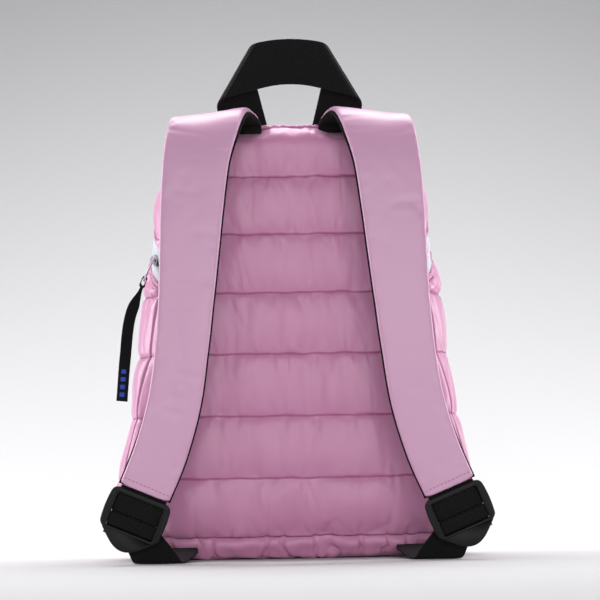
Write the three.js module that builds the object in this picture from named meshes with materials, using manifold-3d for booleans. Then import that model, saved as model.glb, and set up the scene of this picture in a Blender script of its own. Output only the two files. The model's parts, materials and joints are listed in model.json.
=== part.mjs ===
// Child's quilted puffer backpack, standing upright: a hollow body of padded quilted panels, a zip
// wrapped over its top, a webbing carry handle and two padded shoulder straps with ladder locks.
// Millimetres, +Z up. The worn side faces -Y and +X is to the right as one looks at it.
// The origin is the middle of the flat base, on the floor.

import * as THREE from 'three';
import { mergeVertices } from 'three/addons/utils/BufferGeometryUtils.js';
import Module from 'manifold-3d';

const wasm = await Module();
wasm.setup();

const { clamp, degToRad, lerp, smoothstep } = THREE.MathUtils;

// Driving dimensions of the body
const BODY_HEIGHT = 366;
const BODY_HALF_WIDTH = 153;
const BACK_DEPTH = 58;
const FRONT_DEPTH = 68;
const EDGE_ROLL = 22;
const FRONT_CROWN = 28;
const PADDED_WALL = 8;
const PUFF = 4;
const BASE_SEAM_HEIGHT = 18.7;
const SEAM_GAP = 0.4;

// Driving dimensions of the zip
const ZIP_END_HEIGHT = 246;
const ZIP_RISE = 88;
const ZIP_WIDTH = 21;
const TAPE_THICKNESS = 0.8;
const TAPE_DEPTH = 2;
const COIL_WIDTH = 3.8;
const COIL_THICKNESS = 1.8;
const SLIDER_LENGTH = 10;
const SLIDER_WIDTH = 8.6;
const SLIDER_PLATE = 1.2;
const SLIDER_CLEARANCE = 0.6;
const BRIDGE_LENGTH = 7;
const BRIDGE_WIDTH = 2.4;
const BRIDGE_BAR = 1.2;
const PULLER_LENGTH = 30;
const PULLER_WIDTH = 6.6;
const PULLER_THICKNESS = 1.5;
const PULLER_LIFT_DEG = 25;
const TAB_LENGTH = 100;
const TAB_WIDTH = 9.6;
const TAB_THICKNESS = 2.2;
const TAB_CORD = 1.4;
const TAB_LOOP = 8;

// Driving dimensions of the straps, webbing and locks
const STRAP_THICKNESS = 5;
const MESH_THICKNESS = 2;
const MESH_RIM = 1.2;
const STRAP_STAND = 54;
const STRAP_WIDTH = 58;
const WEBBING_WIDTH = 38;
const WEBBING_THICKNESS = 1.6;
const WEBBING_SHOW = 1.8;
const LOCK_HEIGHT = 35;
const LOCK_BOW = 1.6;
const LOCK_RAIL = 5;
const LOCK_RIM = 4.2;
const LOCK_FRONT = 4;
const LOCK_BACK = 3.4;
const LOCK_TAB = 14;
const LOCK_CORNER = 5;
const FIT = 0.35;

// Driving dimensions of the carry handle
const HANDLE_RISE = 73;
const HANDLE_HALF_SPAN = 54;
const HANDLE_DROP = 33;
const HANDLE_FOLD_RADIUS = 5.5;

// Body sections from the base seam up. up and half are shares of BODY_HEIGHT and BODY_HALF_WIDTH,
// seam is the back seam's share of the half width, back and front are shares of the two depths.
const BODY_SECTIONS = [
  { up: 0.051, half: 0.955, seam: 0.950, back: 0.84, front: 0.80 },
  { up: 0.100, half: 0.985, seam: 0.955, back: 0.94, front: 0.90 },
  { up: 0.160, half: 1.000, seam: 0.960, back: 0.99, front: 0.95 },
  { up: 0.210, half: 0.976, seam: 0.965, back: 1.00, front: 0.98 },
  { up: 0.280, half: 0.930, seam: 0.970, back: 1.00, front: 1.00 },
  { up: 0.360, half: 0.900, seam: 0.960, back: 1.00, front: 1.00 },
  { up: 0.440, half: 0.878, seam: 0.930, back: 1.00, front: 0.99 },
  { up: 0.520, half: 0.856, seam: 0.905, back: 1.00, front: 0.97 },
  { up: 0.630, half: 0.826, seam: 0.890, back: 1.00, front: 0.94 },
  { up: 0.700, half: 0.800, seam: 0.885, back: 1.00, front: 0.90 },
  { up: 0.760, half: 0.782, seam: 0.885, back: 1.00, front: 0.85 },
  { up: 0.810, half: 0.766, seam: 0.890, back: 0.99, front: 0.78 },
  { up: 0.865, half: 0.728, seam: 0.910, back: 0.98, front: 0.66 },
  { up: 0.910, half: 0.668, seam: 0.935, back: 0.96, front: 0.50 },
  { up: 0.960, half: 0.590, seam: 0.965, back: 0.88, front: 0.16 },
  { up: 1.000, half: 0.515, seam: 1.000, back: 0.655, front: -0.545 },
];

// Quilting seams, as shares of the way from the base seam to the top seam
const QUILT_SEAMS = [0, 0.141, 0.292, 0.443, 0.592, 0.735, 0.876, 1];
// Rows of points across one quilted channel, as shares of its height
const CHANNEL_ROWS = [0, 0.14, 0.5, 0.86];
const SMALLEST_BAND = 4;

// Columns of points: the back from seam to seam, then one half of the way round the front.
// Along this measure 0 is the middle of the back, 1 the back seam, 2 the front seam, 3 the middle
// of the front, and the left half is negative.
const BACK_COLUMNS = [-1, -0.9, -0.7, -0.4, 0, 0.4, 0.7, 0.9, 1];
const SIDE_COLUMNS = [1, 1.12, 1.35, 1.65, 1.88, 2];
const FRONT_COLUMNS = [2, 2.08, 2.25, 2.45, 2.7, 3];

// Shoulder strap, right side, from its root on the top seam down to its end. up is a share of
// BODY_HEIGHT, out of BODY_HALF_WIDTH, stand of STRAP_STAND behind the back panel's face, and wide
// of STRAP_WIDTH. thick is a share of STRAP_THICKNESS, and lean is how far its inner edge is
// raised, in degrees.
const STRAP_ROUTE = [
  { up: 1.0080, out: 0.352, stand: -0.310, wide: 0.98, thick: 0.35, lean: 0 },
  { up: 1.0090, out: 0.366, stand: -0.160, wide: 1.01, thick: 0.70, lean: 3 },
  { up: 1.0150, out: 0.417, stand: 0.120, wide: 1.03, thick: 1.00, lean: 8 },
  { up: 1.0030, out: 0.452, stand: 0.380, wide: 1.03, thick: 1.00, lean: 6 },
  { up: 0.974, out: 0.483, stand: 0.590, wide: 1.00, thick: 1.00, lean: 0 },
  { up: 0.915, out: 0.515, stand: 0.740, wide: 0.95, thick: 1.00, lean: 0 },
  { up: 0.803, out: 0.543, stand: 0.860, wide: 0.90, thick: 1.00, lean: 0 },
  { up: 0.691, out: 0.562, stand: 0.930, wide: 0.84, thick: 1.00, lean: 0 },
  { up: 0.580, out: 0.583, stand: 0.975, wide: 0.78, thick: 1.00, lean: 0 },
  { up: 0.469, out: 0.611, stand: 1.000, wide: 0.75, thick: 1.00, lean: 0 },
  { up: 0.357, out: 0.653, stand: 0.990, wide: 0.75, thick: 1.00, lean: 0 },
  { up: 0.245, out: 0.732, stand: 0.960, wide: 0.75, thick: 1.00, lean: 0 },
  { up: 0.160, out: 0.818, stand: 0.930, wide: 0.74, thick: 1.00, lean: 0 },
];

// Half outline of the strap's padded face: across is a share of the half width, thick of
// STRAP_THICKNESS.
const STRAP_PROFILE = [
  { across: 0.96, thick: 0 },
  { across: 1.00, thick: 0.35 },
  { across: 0.95, thick: 0.80 },
  { across: 0.70, thick: 1.00 },
];

// Adjustable webbing from the base out to its fold near the floor, right side: out is a share of
// BODY_HALF_WIDTH and stand of STRAP_STAND.
const LOWER_WEBBING_ROUTE = [
  { out: 0.673, stand: 0.02 },
  { out: 0.700, stand: 0.36 },
  { out: 0.730, stand: 0.66 },
];
const FOLD_OUT = 0.755;
const FOLD_EASE = 3;

// Colours and finishes
function finish(color, roughness, metalness = 0) {
  return new THREE.MeshStandardMaterial({ color, roughness, metalness });
}
const PINK_SATIN = finish(0xc98fb3, 0.4);
const STRAP_SATIN = finish(0xcfa3c0, 0.4);
const BLACK_MESH = finish(0x0f0c0d, 0.9);
const BLACK_WEBBING = finish(0x121214, 0.8);
const BLACK_PLASTIC = finish(0x1b1b1c, 0.5);
const WHITE_TAPE = finish(0xe6e6f0, 0.7);
const SILVER = finish(0xcfd0d4, 0.3, 0.9);
const BLACK_RIBBON = finish(0x1c1b1e, 0.6);

const pack = new THREE.Group();

function addPiece(name, geometry, material, parent = pack) {
  const piece = new THREE.Mesh(geometry, material);
  piece.name = name;
  parent.add(piece);
  return piece;
}

// Turns a closed mesh's faces outwards
function facingOut(geometry) {
  const place = geometry.getAttribute('position');
  const index = geometry.getIndex();
  const [a, b, c] = [new THREE.Vector3(), new THREE.Vector3(), new THREE.Vector3()];
  let volume = 0;
  for (let face = 0; face < index.count; face += 3) {
    a.fromBufferAttribute(place, index.getX(face));
    b.fromBufferAttribute(place, index.getX(face + 1));
    c.fromBufferAttribute(place, index.getX(face + 2));
    volume += a.dot(b.cross(c));
  }
  if (volume < 0) {
    for (let face = 0; face < index.count; face += 3) {
      const first = index.getX(face);
      index.setX(face, index.getX(face + 1));
      index.setX(face + 1, first);
    }
  }
  return geometry;
}

function meshOf(points, index) {
  const geometry = new THREE.BufferGeometry();
  geometry.setIndex(index);
  geometry.setAttribute('position', new THREE.Float32BufferAttribute(
    points.flatMap((point) => point.toArray()), 3));
  geometry.computeVertexNormals();
  return facingOut(geometry);
}

// A closed wall between two grids of points, [row][column], of the same size
function wallBetween(outer, inner) {
  const rows = outer.length;
  const columns = outer[0].length;
  const points = [...outer.flat(), ...inner.flat()];
  const outside = (row, column) => row * columns + column;
  const inside = (row, column) => rows * columns + outside(row, column);
  const index = [];
  const quad = (a, b, c, d) => index.push(a, b, c, a, c, d);
  for (let r = 0; r < rows - 1; r += 1) {
    for (let c = 0; c < columns - 1; c += 1) {
      quad(outside(r, c), outside(r, c + 1), outside(r + 1, c + 1), outside(r + 1, c));
      quad(inside(r, c), inside(r + 1, c), inside(r + 1, c + 1), inside(r, c + 1));
    }
  }
  for (let c = 0; c < columns - 1; c += 1) {
    const last = rows - 1;
    quad(outside(0, c), inside(0, c), inside(0, c + 1), outside(0, c + 1));
    quad(outside(last, c), outside(last, c + 1), inside(last, c + 1), inside(last, c));
  }
  for (let r = 0; r < rows - 1; r += 1) {
    const last = columns - 1;
    quad(outside(r, 0), outside(r + 1, 0), inside(r + 1, 0), inside(r, 0));
    quad(outside(r, last), inside(r, last), inside(r + 1, last), outside(r + 1, last));
  }
  return meshOf(points, index);
}

// The two widest directions of a ring's own plane, for cutting it into triangles
function flattened(ring) {
  const normal = new THREE.Vector3();
  ring.forEach((point, i) => {
    normal.add(new THREE.Vector3().crossVectors(point, ring[(i + 1) % ring.length]));
  });
  normal.normalize();
  const side = Math.abs(normal.x) > 0.9 ? new THREE.Vector3(0, 1, 0) : new THREE.Vector3(1, 0, 0);
  const up = new THREE.Vector3().crossVectors(normal, side).normalize();
  side.crossVectors(up, normal);
  return ring.map((point) => new THREE.Vector2(point.dot(side), point.dot(up)));
}

// Triangles that close a ring, all wound in the ring's own order
function capFaces(ring) {
  const contour = flattened(ring);
  const order = Math.sign(THREE.ShapeUtils.area(contour));
  return THREE.ShapeUtils.triangulateShape(contour, []).map((face) => {
    const turn = Math.sign(THREE.ShapeUtils.area(face.map((i) => contour[i])));
    return turn === order ? face : [...face].reverse();
  });
}

// A closed solid skinned over a run of rings, capped on its first and last
function loftRings(rings) {
  const size = rings[0].length;
  const index = [];
  for (let row = 0; row < rings.length - 1; row += 1) {
    for (let i = 0; i < size; i += 1) {
      const [a, b] = [row * size + i, row * size + (i + 1) % size];
      index.push(a, b, b + size, a, b + size, a + size);
    }
  }
  const lastRow = (rings.length - 1) * size;
  capFaces(rings[0]).forEach(([a, b, c]) => index.push(a, c, b));
  capFaces(rings.at(-1)).forEach((face) => index.push(...face.map((i) => i + lastRow)));
  return meshOf(rings.flat(), index);
}

function mirrored(geometry) {
  const copy = geometry.clone();
  copy.scale(-1, 1, 1);
  return facingOut(copy);
}

// Joins and cuts of closed meshes
function solid(geometry) {
  const bare = new THREE.BufferGeometry();
  bare.setAttribute('position', geometry.getAttribute('position'));
  bare.setIndex(geometry.getIndex());
  const merged = mergeVertices(bare, 1e-4);
  return new wasm.Manifold(new wasm.Mesh({
    numProp: 3,
    vertProperties: new Float32Array(merged.getAttribute('position').array),
    triVerts: new Uint32Array(merged.getIndex().array),
  }));
}

function joined(...geometries) {
  const mesh = geometries.map(solid).reduce((whole, next) => whole.add(next)).getMesh();
  const geometry = new THREE.BufferGeometry();
  geometry.setIndex(new THREE.BufferAttribute(mesh.triVerts, 1));
  geometry.setAttribute('position', new THREE.BufferAttribute(mesh.vertProperties, 3));
  geometry.computeVertexNormals();
  return geometry;
}

// A smooth curve through one column of a table
function smoothColumn(rows, column) {
  const places = rows.map((row) => row.up);
  const values = rows.map((row) => row[column]);
  const curve = new THREE.CubicInterpolant(places, values, 1, new Float64Array(1));
  return (up) => curve.evaluate(clamp(up, places[0], places.at(-1)))[0];
}

const sectionHalf = smoothColumn(BODY_SECTIONS, 'half');
const sectionSeam = smoothColumn(BODY_SECTIONS, 'seam');
const sectionBack = smoothColumn(BODY_SECTIONS, 'back');
const sectionFront = smoothColumn(BODY_SECTIONS, 'front');

// The front seam's share of the half width, and the flattest that an inner wall gets
const FRONT_SEAM_SHARE = 0.93;
const THINNEST_HOLLOW = 0.3;

// The body's corners and crowns at one height
function bodySection(height) {
  const up = height / BODY_HEIGHT;
  const half = sectionHalf(up) * BODY_HALF_WIDTH;
  const back = sectionBack(up) * BACK_DEPTH;
  const front = sectionFront(up) * FRONT_DEPTH;
  const fullness = Math.min(1, 1.6 * (back + front) / (BACK_DEPTH + FRONT_DEPTH));
  return {
    half,
    back,
    front,
    backSeam: { x: half * sectionSeam(up), y: EDGE_ROLL * fullness - back },
    frontSeam: { x: half * FRONT_SEAM_SHARE, y: front - FRONT_CROWN * fullness },
  };
}

// A point of the body's skin: around it as the columns say, at a height, and inset from the face
// of the quilting seams. A negative inset stands out.
function skin(around, height, inset = 0) {
  const side = Math.sign(around) || 1;
  const way = Math.abs(around);
  const { half, back, front, backSeam, frontSeam } = bodySection(height);
  const along = way - Math.floor(way);
  let x = 0;
  let y = 0;
  if (way <= 1) {
    x = backSeam.x * way;
    y = -back + (backSeam.y + back) * way ** 5;
  } else if (way < 2) {
    const bulge = half - (backSeam.x + frontSeam.x) / 2;
    x = lerp(backSeam.x, frontSeam.x, along) + bulge * Math.sin(Math.PI * along) ** 0.8;
    y = lerp(backSeam.y, frontSeam.y, along);
  } else {
    const crown = (1 - (3 - way) ** 2.5) ** 0.75;
    x = frontSeam.x * (3 - way);
    y = lerp(frontSeam.y, front, crown);
  }
  const halfDepth = (back + front) / 2;
  const spine = (front - back) / 2;
  const keepY = Math.max(THINNEST_HOLLOW, 1 - inset / Math.max(halfDepth, PADDED_WALL));
  return new THREE.Vector3(
    side * x * (1 - inset / half),
    spine + (y - spine) * keepY,
    inset + height * (BODY_HEIGHT - 2 * inset) / BODY_HEIGHT,
  );
}

const seamHeights = QUILT_SEAMS.map((share) => lerp(BASE_SEAM_HEIGHT, BODY_HEIGHT, share));

// How far the quilting stands out at a height, between its seams
function channelPuff(height) {
  const above = seamHeights.findIndex((seam) => seam > height);
  if (above < 1) return 0;
  const share = (height - seamHeights[above - 1]) / (seamHeights[above] - seamHeights[above - 1]);
  return PUFF * Math.sqrt(Math.sin(Math.PI * share));
}

// The zip's middle line and its edges, by the way round from the back seam. It climbs evenly along
// the side and levels out over the front.
function zipLine(around) {
  const climb = Math.sin((Math.abs(around) - 1) * Math.PI / 4);
  return ZIP_END_HEIGHT + ZIP_RISE * (climb + climb ** 2) / 2;
}

function zipSteepness(around) {
  const step = 0.02;
  const from = clamp(Math.abs(around), 1, 3 - step);
  const [low, high] = [zipLine(from), zipLine(from + step)];
  const run = skin(from, low).setZ(0).distanceTo(skin(from + step, high).setZ(0));
  return Math.hypot(1, (high - low) / run);
}

function zipEdge(around, offset) {
  return zipLine(around) + offset * zipSteepness(around);
}

// Heights of the rows between two edges, with a band for each quilted channel
function rowHeights(low, high, cuts) {
  const marks = [low];
  cuts.forEach((cut, index) => {
    const lowest = marks[index] + SMALLEST_BAND;
    const highest = high - SMALLEST_BAND * (cuts.length - index);
    marks.push(clamp(cut, lowest, highest));
  });
  marks.push(high);
  const rows = marks.slice(0, -1).flatMap((mark, index) => (
    CHANNEL_ROWS.map((share) => lerp(mark, marks[index + 1], share))));
  return [...rows, high];
}

// A quilted panel between a lower and an upper edge, over the given columns
function quiltedPanel(columns, lowEdge, highEdge, cuts) {
  const first = columns[0];
  const last = columns.at(-1);
  const width = last - first;
  const grid = (depth) => {
    const lines = columns.map((around) => {
      const low = lowEdge(around);
      const high = highEdge(around);
      const share = (around - first) / width;
      const sideFade = Math.min(1, 4 * share, 4 * (1 - share)) ** 0.5;
      return rowHeights(low, high, cuts).map((height) => {
        const edgeFade = smoothstep(Math.min(height - low, high - height), 0, SMALLEST_BAND);
        const puff = depth === 0 ? channelPuff(height) * sideFade * edgeFade : 0;
        return skin(turned(around), height, depth - puff);
      });
    });
    return lines[0].map((_, row) => lines.map((line) => line[row]));
  };
  return wallBetween(grid(0), grid(PADDED_WALL));
}

// Columns may run on past the middle of the front: 4 stands for the left front seam
function turned(around) {
  return around > 3 ? around - 6 : around;
}

// Ends of a run of columns moved in by half the seam gap
function spaced(columns, startLength, endLength) {
  const moved = [...columns];
  moved[0] += SEAM_GAP / 2 / startLength;
  moved[moved.length - 1] -= SEAM_GAP / 2 / endLength;
  return moved;
}

const middle = bodySection(BODY_HEIGHT / 2);
const BACK_SPAN = middle.backSeam.x;
const SIDE_SPAN = middle.frontSeam.y - middle.backSeam.y;
const FRONT_SPAN = FRONT_CROWN;

const overFront = [...FRONT_COLUMNS, ...FRONT_COLUMNS.slice(0, -1).reverse().map((way) => 6 - way)];
const overAll = [...SIDE_COLUMNS, ...overFront.slice(1, -1),
  ...[...SIDE_COLUMNS].reverse().map((way) => 6 - way)];
const mirrorWay = (around) => (around > 3 ? 6 - around : around);

const bottomEdge = () => BASE_SEAM_HEIGHT + SEAM_GAP / 2;
const topEdge = () => BODY_HEIGHT;
const belowZip = (around) => zipEdge(mirrorWay(around), -ZIP_WIDTH / 2 - SEAM_GAP);
const aboveZip = (around) => zipEdge(mirrorWay(around), ZIP_WIDTH / 2 + SEAM_GAP);

function makeBody() {
  const backColumns = spaced(BACK_COLUMNS, BACK_SPAN, BACK_SPAN);
  const sideColumns = spaced(SIDE_COLUMNS, SIDE_SPAN, SIDE_SPAN);
  const frontColumns = spaced(overFront, FRONT_SPAN, FRONT_SPAN);
  const hoodColumns = spaced(overAll, SIDE_SPAN, SIDE_SPAN);
  const lowCuts = seamHeights.slice(1, 6);
  const side = quiltedPanel(sideColumns, bottomEdge, belowZip, lowCuts);
  addPiece('back_panel',
    quiltedPanel(backColumns, bottomEdge, topEdge, seamHeights.slice(1, -1)), PINK_SATIN);
  addPiece('side_panel_right', side, PINK_SATIN);
  addPiece('side_panel_left', mirrored(side), PINK_SATIN);
  addPiece('front_panel', quiltedPanel(frontColumns, bottomEdge, belowZip, lowCuts), PINK_SATIN);
  addPiece('top_panel', quiltedPanel(hoodColumns, aboveZip, topEdge, seamHeights.slice(5, 7)),
    PINK_SATIN);
}

// The base: a shallow padded tray, its rim on the base seam and its bottom flat on the floor.
// fall is a share of BASE_SEAM_HEIGHT, keep a share of the rim's plan.
const BASE_PROFILE = [
  { fall: 0.45, keep: 0.990 },
  { fall: 0.85, keep: 0.955 },
  { fall: 1.00, keep: 0.915 },
];

const rimHeight = BASE_SEAM_HEIGHT - SEAM_GAP / 2;

function basePoint(way, inset, keep, height) {
  const { back, front } = bodySection(rimHeight);
  const spine = (front - back) / 2;
  const point = skin(turned(way), rimHeight, inset);
  return new THREE.Vector3(point.x * keep, spine + (point.y - spine) * keep, height ?? point.z);
}

function makeBase() {
  const ways = [...BACK_COLUMNS, ...overAll.slice(1, -1)];
  const ring = (inset, keep, height) => ways.map((way) => basePoint(way, inset, keep, height));
  const rings = [
    ring(PADDED_WALL, BASE_PROFILE[1].keep, PADDED_WALL),
    ring(PADDED_WALL, 1),
    ring(0, 1),
    ...BASE_PROFILE.map(({ fall, keep }) => ring(0, keep, rimHeight * (1 - fall))),
  ];
  addPiece('base_panel', loftRings(rings), PINK_SATIN);
}

// A strip that follows the zip, between two offsets from its middle line and two depths
function zipStrip(columns, lowOffset, highOffset, outerInset, innerInset) {
  const grid = (inset) => [lowOffset, highOffset].map((offset) => columns.map((around) => (
    skin(turned(around), offset(mirrorWay(around)), inset))));
  return wallBetween(grid(outerInset), grid(innerInset));
}

const SLIDER_WAY = 1.25;
const SLIDER_TILT_DEG = 12;
// Half the slider's length, by the way round
const sliderRun = (() => {
  const ahead = SLIDER_WAY + 0.1;
  const pace = skin(SLIDER_WAY, zipLine(SLIDER_WAY)).distanceTo(skin(ahead, zipLine(ahead))) / 0.1;
  return SLIDER_LENGTH / 2 / pace;
})();

function makeZipTapes() {
  const columns = spaced(overAll, SIDE_SPAN, SIDE_SPAN);
  const inner = COIL_WIDTH / 2 + SEAM_GAP;
  const outer = ZIP_WIDTH / 2;
  const [top, under] = [TAPE_DEPTH, TAPE_DEPTH + TAPE_THICKNESS];
  addPiece('zip_tape_lower', zipStrip(columns, (way) => zipEdge(way, -outer),
    (way) => zipEdge(way, -inner), top, under), WHITE_TAPE);
  addPiece('zip_tape_upper', zipStrip(columns, (way) => zipEdge(way, inner),
    (way) => zipEdge(way, outer), top, under), WHITE_TAPE);
  // The teeth end at the slider, which is closed at the left end
  const teethEnd = 6 - SLIDER_WAY - sliderRun - 4 * SEAM_GAP / SIDE_SPAN;
  const kept = columns.filter((around) => around < teethEnd - sliderRun);
  const proud = (COIL_THICKNESS - TAPE_THICKNESS) / 2;
  addPiece('zip_coil', zipStrip([...kept, teethEnd], (way) => zipEdge(way, -COIL_WIDTH / 2),
    (way) => zipEdge(way, COIL_WIDTH / 2), top - proud, under + proud), WHITE_TAPE);
}

// A frame on the left of the zip: X along the zip up and away from its end, Z out of the skin
function sliderPlace() {
  const inset = TAPE_DEPTH + TAPE_THICKNESS / 2;
  const at = (way, rise = 0) => skin(-way, zipLine(way) + rise, inset);
  const step = sliderRun;
  const along = at(SLIDER_WAY + step).sub(at(SLIDER_WAY - step)).normalize();
  const upwards = at(SLIDER_WAY, 1).sub(at(SLIDER_WAY, -1)).normalize();
  const out = new THREE.Vector3().crossVectors(along, upwards).normalize();
  if (out.x > 0) out.negate();
  // The slider sits a little askew, its tail low
  along.applyAxisAngle(out, -degToRad(SLIDER_TILT_DEG));
  const across = new THREE.Vector3().crossVectors(out, along);
  const middleOfRun = at(SLIDER_WAY + step).add(at(SLIDER_WAY - step)).multiplyScalar(0.5);
  return new THREE.Matrix4().makeBasis(along, across, out).setPosition(middleOfRun);
}

function extruded(shape, depth, bevel = 0, curveSegments = 6) {
  return new THREE.ExtrudeGeometry(shape, {
    depth: depth - 2 * bevel,
    bevelEnabled: bevel > 0,
    bevelThickness: bevel,
    bevelSize: bevel,
    bevelOffset: -bevel,
    bevelSegments: 1,
    curveSegments,
  }).translate(0, 0, bevel);
}

function roundedRectangle(width, height, radius, Kind = THREE.Shape) {
  const [w, h, r] = [width / 2, height / 2, radius];
  return new Kind()
    .moveTo(-w + r, -h)
    .lineTo(w - r, -h)
    .absarc(w - r, -h + r, r, -Math.PI / 2, 0)
    .lineTo(w, h - r)
    .absarc(w - r, h - r, r, 0, Math.PI / 2)
    .lineTo(-w + r, h)
    .absarc(-w + r, h - r, r, Math.PI / 2, Math.PI)
    .lineTo(-w, -h + r)
    .absarc(-w + r, -h + r, r, Math.PI, 1.5 * Math.PI);
}

// Height of the puller's crossbar above the middle of the tapes
const plateFoot = TAPE_THICKNESS / 2 + SLIDER_CLEARANCE;
const crossbarHeight = plateFoot + SLIDER_PLATE + PULLER_THICKNESS / 2 + FIT;

function makeSlider(parent) {
  const [l, w] = [SLIDER_LENGTH / 2, SLIDER_WIDTH / 2];
  const shield = new THREE.Shape()
    .moveTo(-l, -w * 0.6)
    .lineTo(l * 0.4, -w)
    .lineTo(l, -w * 0.7)
    .lineTo(l, w * 0.7)
    .lineTo(l * 0.4, w)
    .lineTo(-l, w * 0.6)
    .closePath();
  const upper = extruded(shield, SLIDER_PLATE, 0.25).translate(0, 0, plateFoot);
  const lower = extruded(shield, SLIDER_PLATE, 0.25).translate(0, 0, -plateFoot - SLIDER_PLATE);
  const post = new THREE.BoxGeometry(l, COIL_WIDTH / 2, 2 * plateFoot + SLIDER_PLATE)
    .translate(l / 4, 0, 0);
  const foot = plateFoot + SLIDER_PLATE / 2;
  const inside = crossbarHeight + PULLER_THICKNESS / 2 + FIT;
  const reach = BRIDGE_LENGTH / 2;
  const arch = new THREE.Shape()
    .moveTo(-reach, foot)
    .lineTo(-reach, inside)
    .lineTo(-reach + BRIDGE_BAR, inside + BRIDGE_BAR)
    .lineTo(reach - BRIDGE_BAR, inside + BRIDGE_BAR)
    .lineTo(reach, inside)
    .lineTo(reach, foot)
    .lineTo(reach - BRIDGE_BAR, foot)
    .lineTo(reach - BRIDGE_BAR, inside)
    .lineTo(-reach + BRIDGE_BAR, inside)
    .lineTo(-reach + BRIDGE_BAR, foot)
    .closePath();
  const bridge = extruded(arch, BRIDGE_WIDTH).rotateX(Math.PI / 2).translate(0, BRIDGE_WIDTH / 2, 0);
  addPiece('zip_slider', joined(upper, lower, post, bridge), SILVER, parent);
}

const PULLER_EYE_LENGTH = 4.8;
const TAB_EYE_LENGTH = 4.6;
const PULLER_END_BAR = 2;

// The puller: a flat bar with an eye for the bridge at one end and one for the ribbon at the other
function makePuller(parent) {
  const half = PULLER_THICKNESS / 2;
  const outline = roundedRectangle(PULLER_LENGTH, PULLER_WIDTH, PULLER_WIDTH / 3);
  const centre = half - PULLER_LENGTH / 2;
  const eyeWidth = BRIDGE_WIDTH + 2 * SLIDER_CLEARANCE;
  const bridgeEye = roundedRectangle(PULLER_EYE_LENGTH, eyeWidth, 0.4, THREE.Path);
  const tabEye = roundedRectangle(TAB_EYE_LENGTH, eyeWidth, 1, THREE.Path);
  const moved = (path, x) => new THREE.Path(path.getPoints(3).map((p) => p.add({ x, y: 0 })));
  outline.holes.push(moved(bridgeEye, -half - PULLER_EYE_LENGTH / 2 - centre));
  outline.holes.push(moved(tabEye, PULLER_END_BAR + TAB_EYE_LENGTH / 2 - PULLER_LENGTH / 2));
  const plate = extruded(outline, PULLER_THICKNESS, 0.2, 3).translate(centre, 0, -half);
  return addPiece('zip_puller', plate, SILVER, parent);
}

// Rings of a band with a rectangular section: width and thickness are functions of the frame
function bandRings(frames) {
  return frames.map(({ at, across, out, width, thick }) => (
    [[-1, -1], [1, -1], [1, 1], [-1, 1]].map(([x, y]) => at.clone()
      .addScaledVector(across, x * width / 2)
      .addScaledVector(out, y * thick / 2))));
}

// Frames along a curve, with their width direction kept near a hint
function framesAlong(curve, count, hint, width, thick) {
  return Array.from({ length: count + 1 }, (_, step) => {
    const share = step / count;
    const along = curve.getTangent(share);
    const across = hint(share).clone();
    across.addScaledVector(along, -across.dot(along)).normalize();
    const out = new THREE.Vector3().crossVectors(across, along).normalize();
    return { at: curve.getPoint(share), across, out, width: width(share), thick: thick(share) };
  });
}

// The ribbon's way down from its neck, in shares of TAB_LENGTH
const TAB_ROUTE = [[0, 0, 0], [-0.1, -0.005, -0.25], [-0.145, 0, -0.58], [-0.18, 0.01, -0.96]];

// The ribbon: pinched into a loop through the puller's lower eye, then hanging in a soft bend.
// Each side of the loop is a run of its own, and the two overlap a little over the puller's bar.
function makePullTab(eyeBar, plateOut, plateAlong) {
  const hang = new THREE.Vector3(-0.36, 0.02, -1).normalize();
  const spread = PULLER_THICKNESS / 2 + TAB_CORD / 2 + FIT;
  const over = PULLER_END_BAR / 2 + TAB_CORD / 2 + FIT;
  const neck = eyeBar.clone().addScaledVector(hang, TAB_LOOP);
  const low = TAB_LOOP * 0.45;
  const sunk = TAB_LOOP * 0.3;
  const point = (out, along, down) => eyeBar.clone().addScaledVector(plateOut, out)
    .addScaledVector(plateAlong, along).addScaledVector(hang, down);
  const barWay = new THREE.Vector3().crossVectors(plateOut, plateAlong);
  const halfLoop = (side) => new THREE.CatmullRomCurve3([
    neck.clone().addScaledVector(hang, sunk),
    neck,
    point(side * spread, -over, low),
    point(side * spread, 0, 0),
    point(side * spread * 0.7, over * 0.8, 0),
    point(0, over * 1.05, 0),
    point(-side * spread * 0.25, over * 1.03, 0),
  ]);
  const cords = [1, -1].map((side) => loftRings(bandRings(
    framesAlong(halfLoop(side), 14, () => barWay, () => TAB_CORD * 1.5, () => TAB_CORD))));
  const faceWay = new THREE.Vector3(1, 0, 0);
  const body = new THREE.CatmullRomCurve3(TAB_ROUTE.map((shares) => (
    new THREE.Vector3(...shares).multiplyScalar(TAB_LENGTH).add(neck))));
  const widen = (share) => lerp(TAB_CORD * 1.8, TAB_WIDTH, smoothstep(share, 0, 0.16));
  const flatten = (share) => lerp(TAB_CORD * 1.8, TAB_THICKNESS, smoothstep(share, 0, 0.16));
  const strip = framesAlong(body, 14, () => faceWay, widen, flatten);
  addPiece('pull_tab', joined(...cords, loftRings(bandRings(strip))), BLACK_RIBBON);
}

function makeZip() {
  makeZipTapes();
  const place = sliderPlace();
  const sliderGroup = new THREE.Group();
  place.decompose(sliderGroup.position, sliderGroup.quaternion, sliderGroup.scale);
  pack.add(sliderGroup);
  makeSlider(sliderGroup);
  const pullerGroup = new THREE.Group();
  pullerGroup.position.set(0, 0, crossbarHeight);
  pullerGroup.rotation.y = degToRad(PULLER_LIFT_DEG);
  sliderGroup.add(pullerGroup);
  const puller = makePuller(pullerGroup);
  puller.updateWorldMatrix(true, false);
  const frame = puller.matrixWorld;
  const [alongWay, , outWay] = [0, 1, 2].map((axis) => (
    new THREE.Vector3().setFromMatrixColumn(frame, axis).normalize()));
  const barX = PULLER_THICKNESS / 2 - PULLER_LENGTH + PULLER_END_BAR / 2;
  makePullTab(new THREE.Vector3(barX, 0, 0).applyMatrix4(frame), outWay, alongWay);
}

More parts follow.
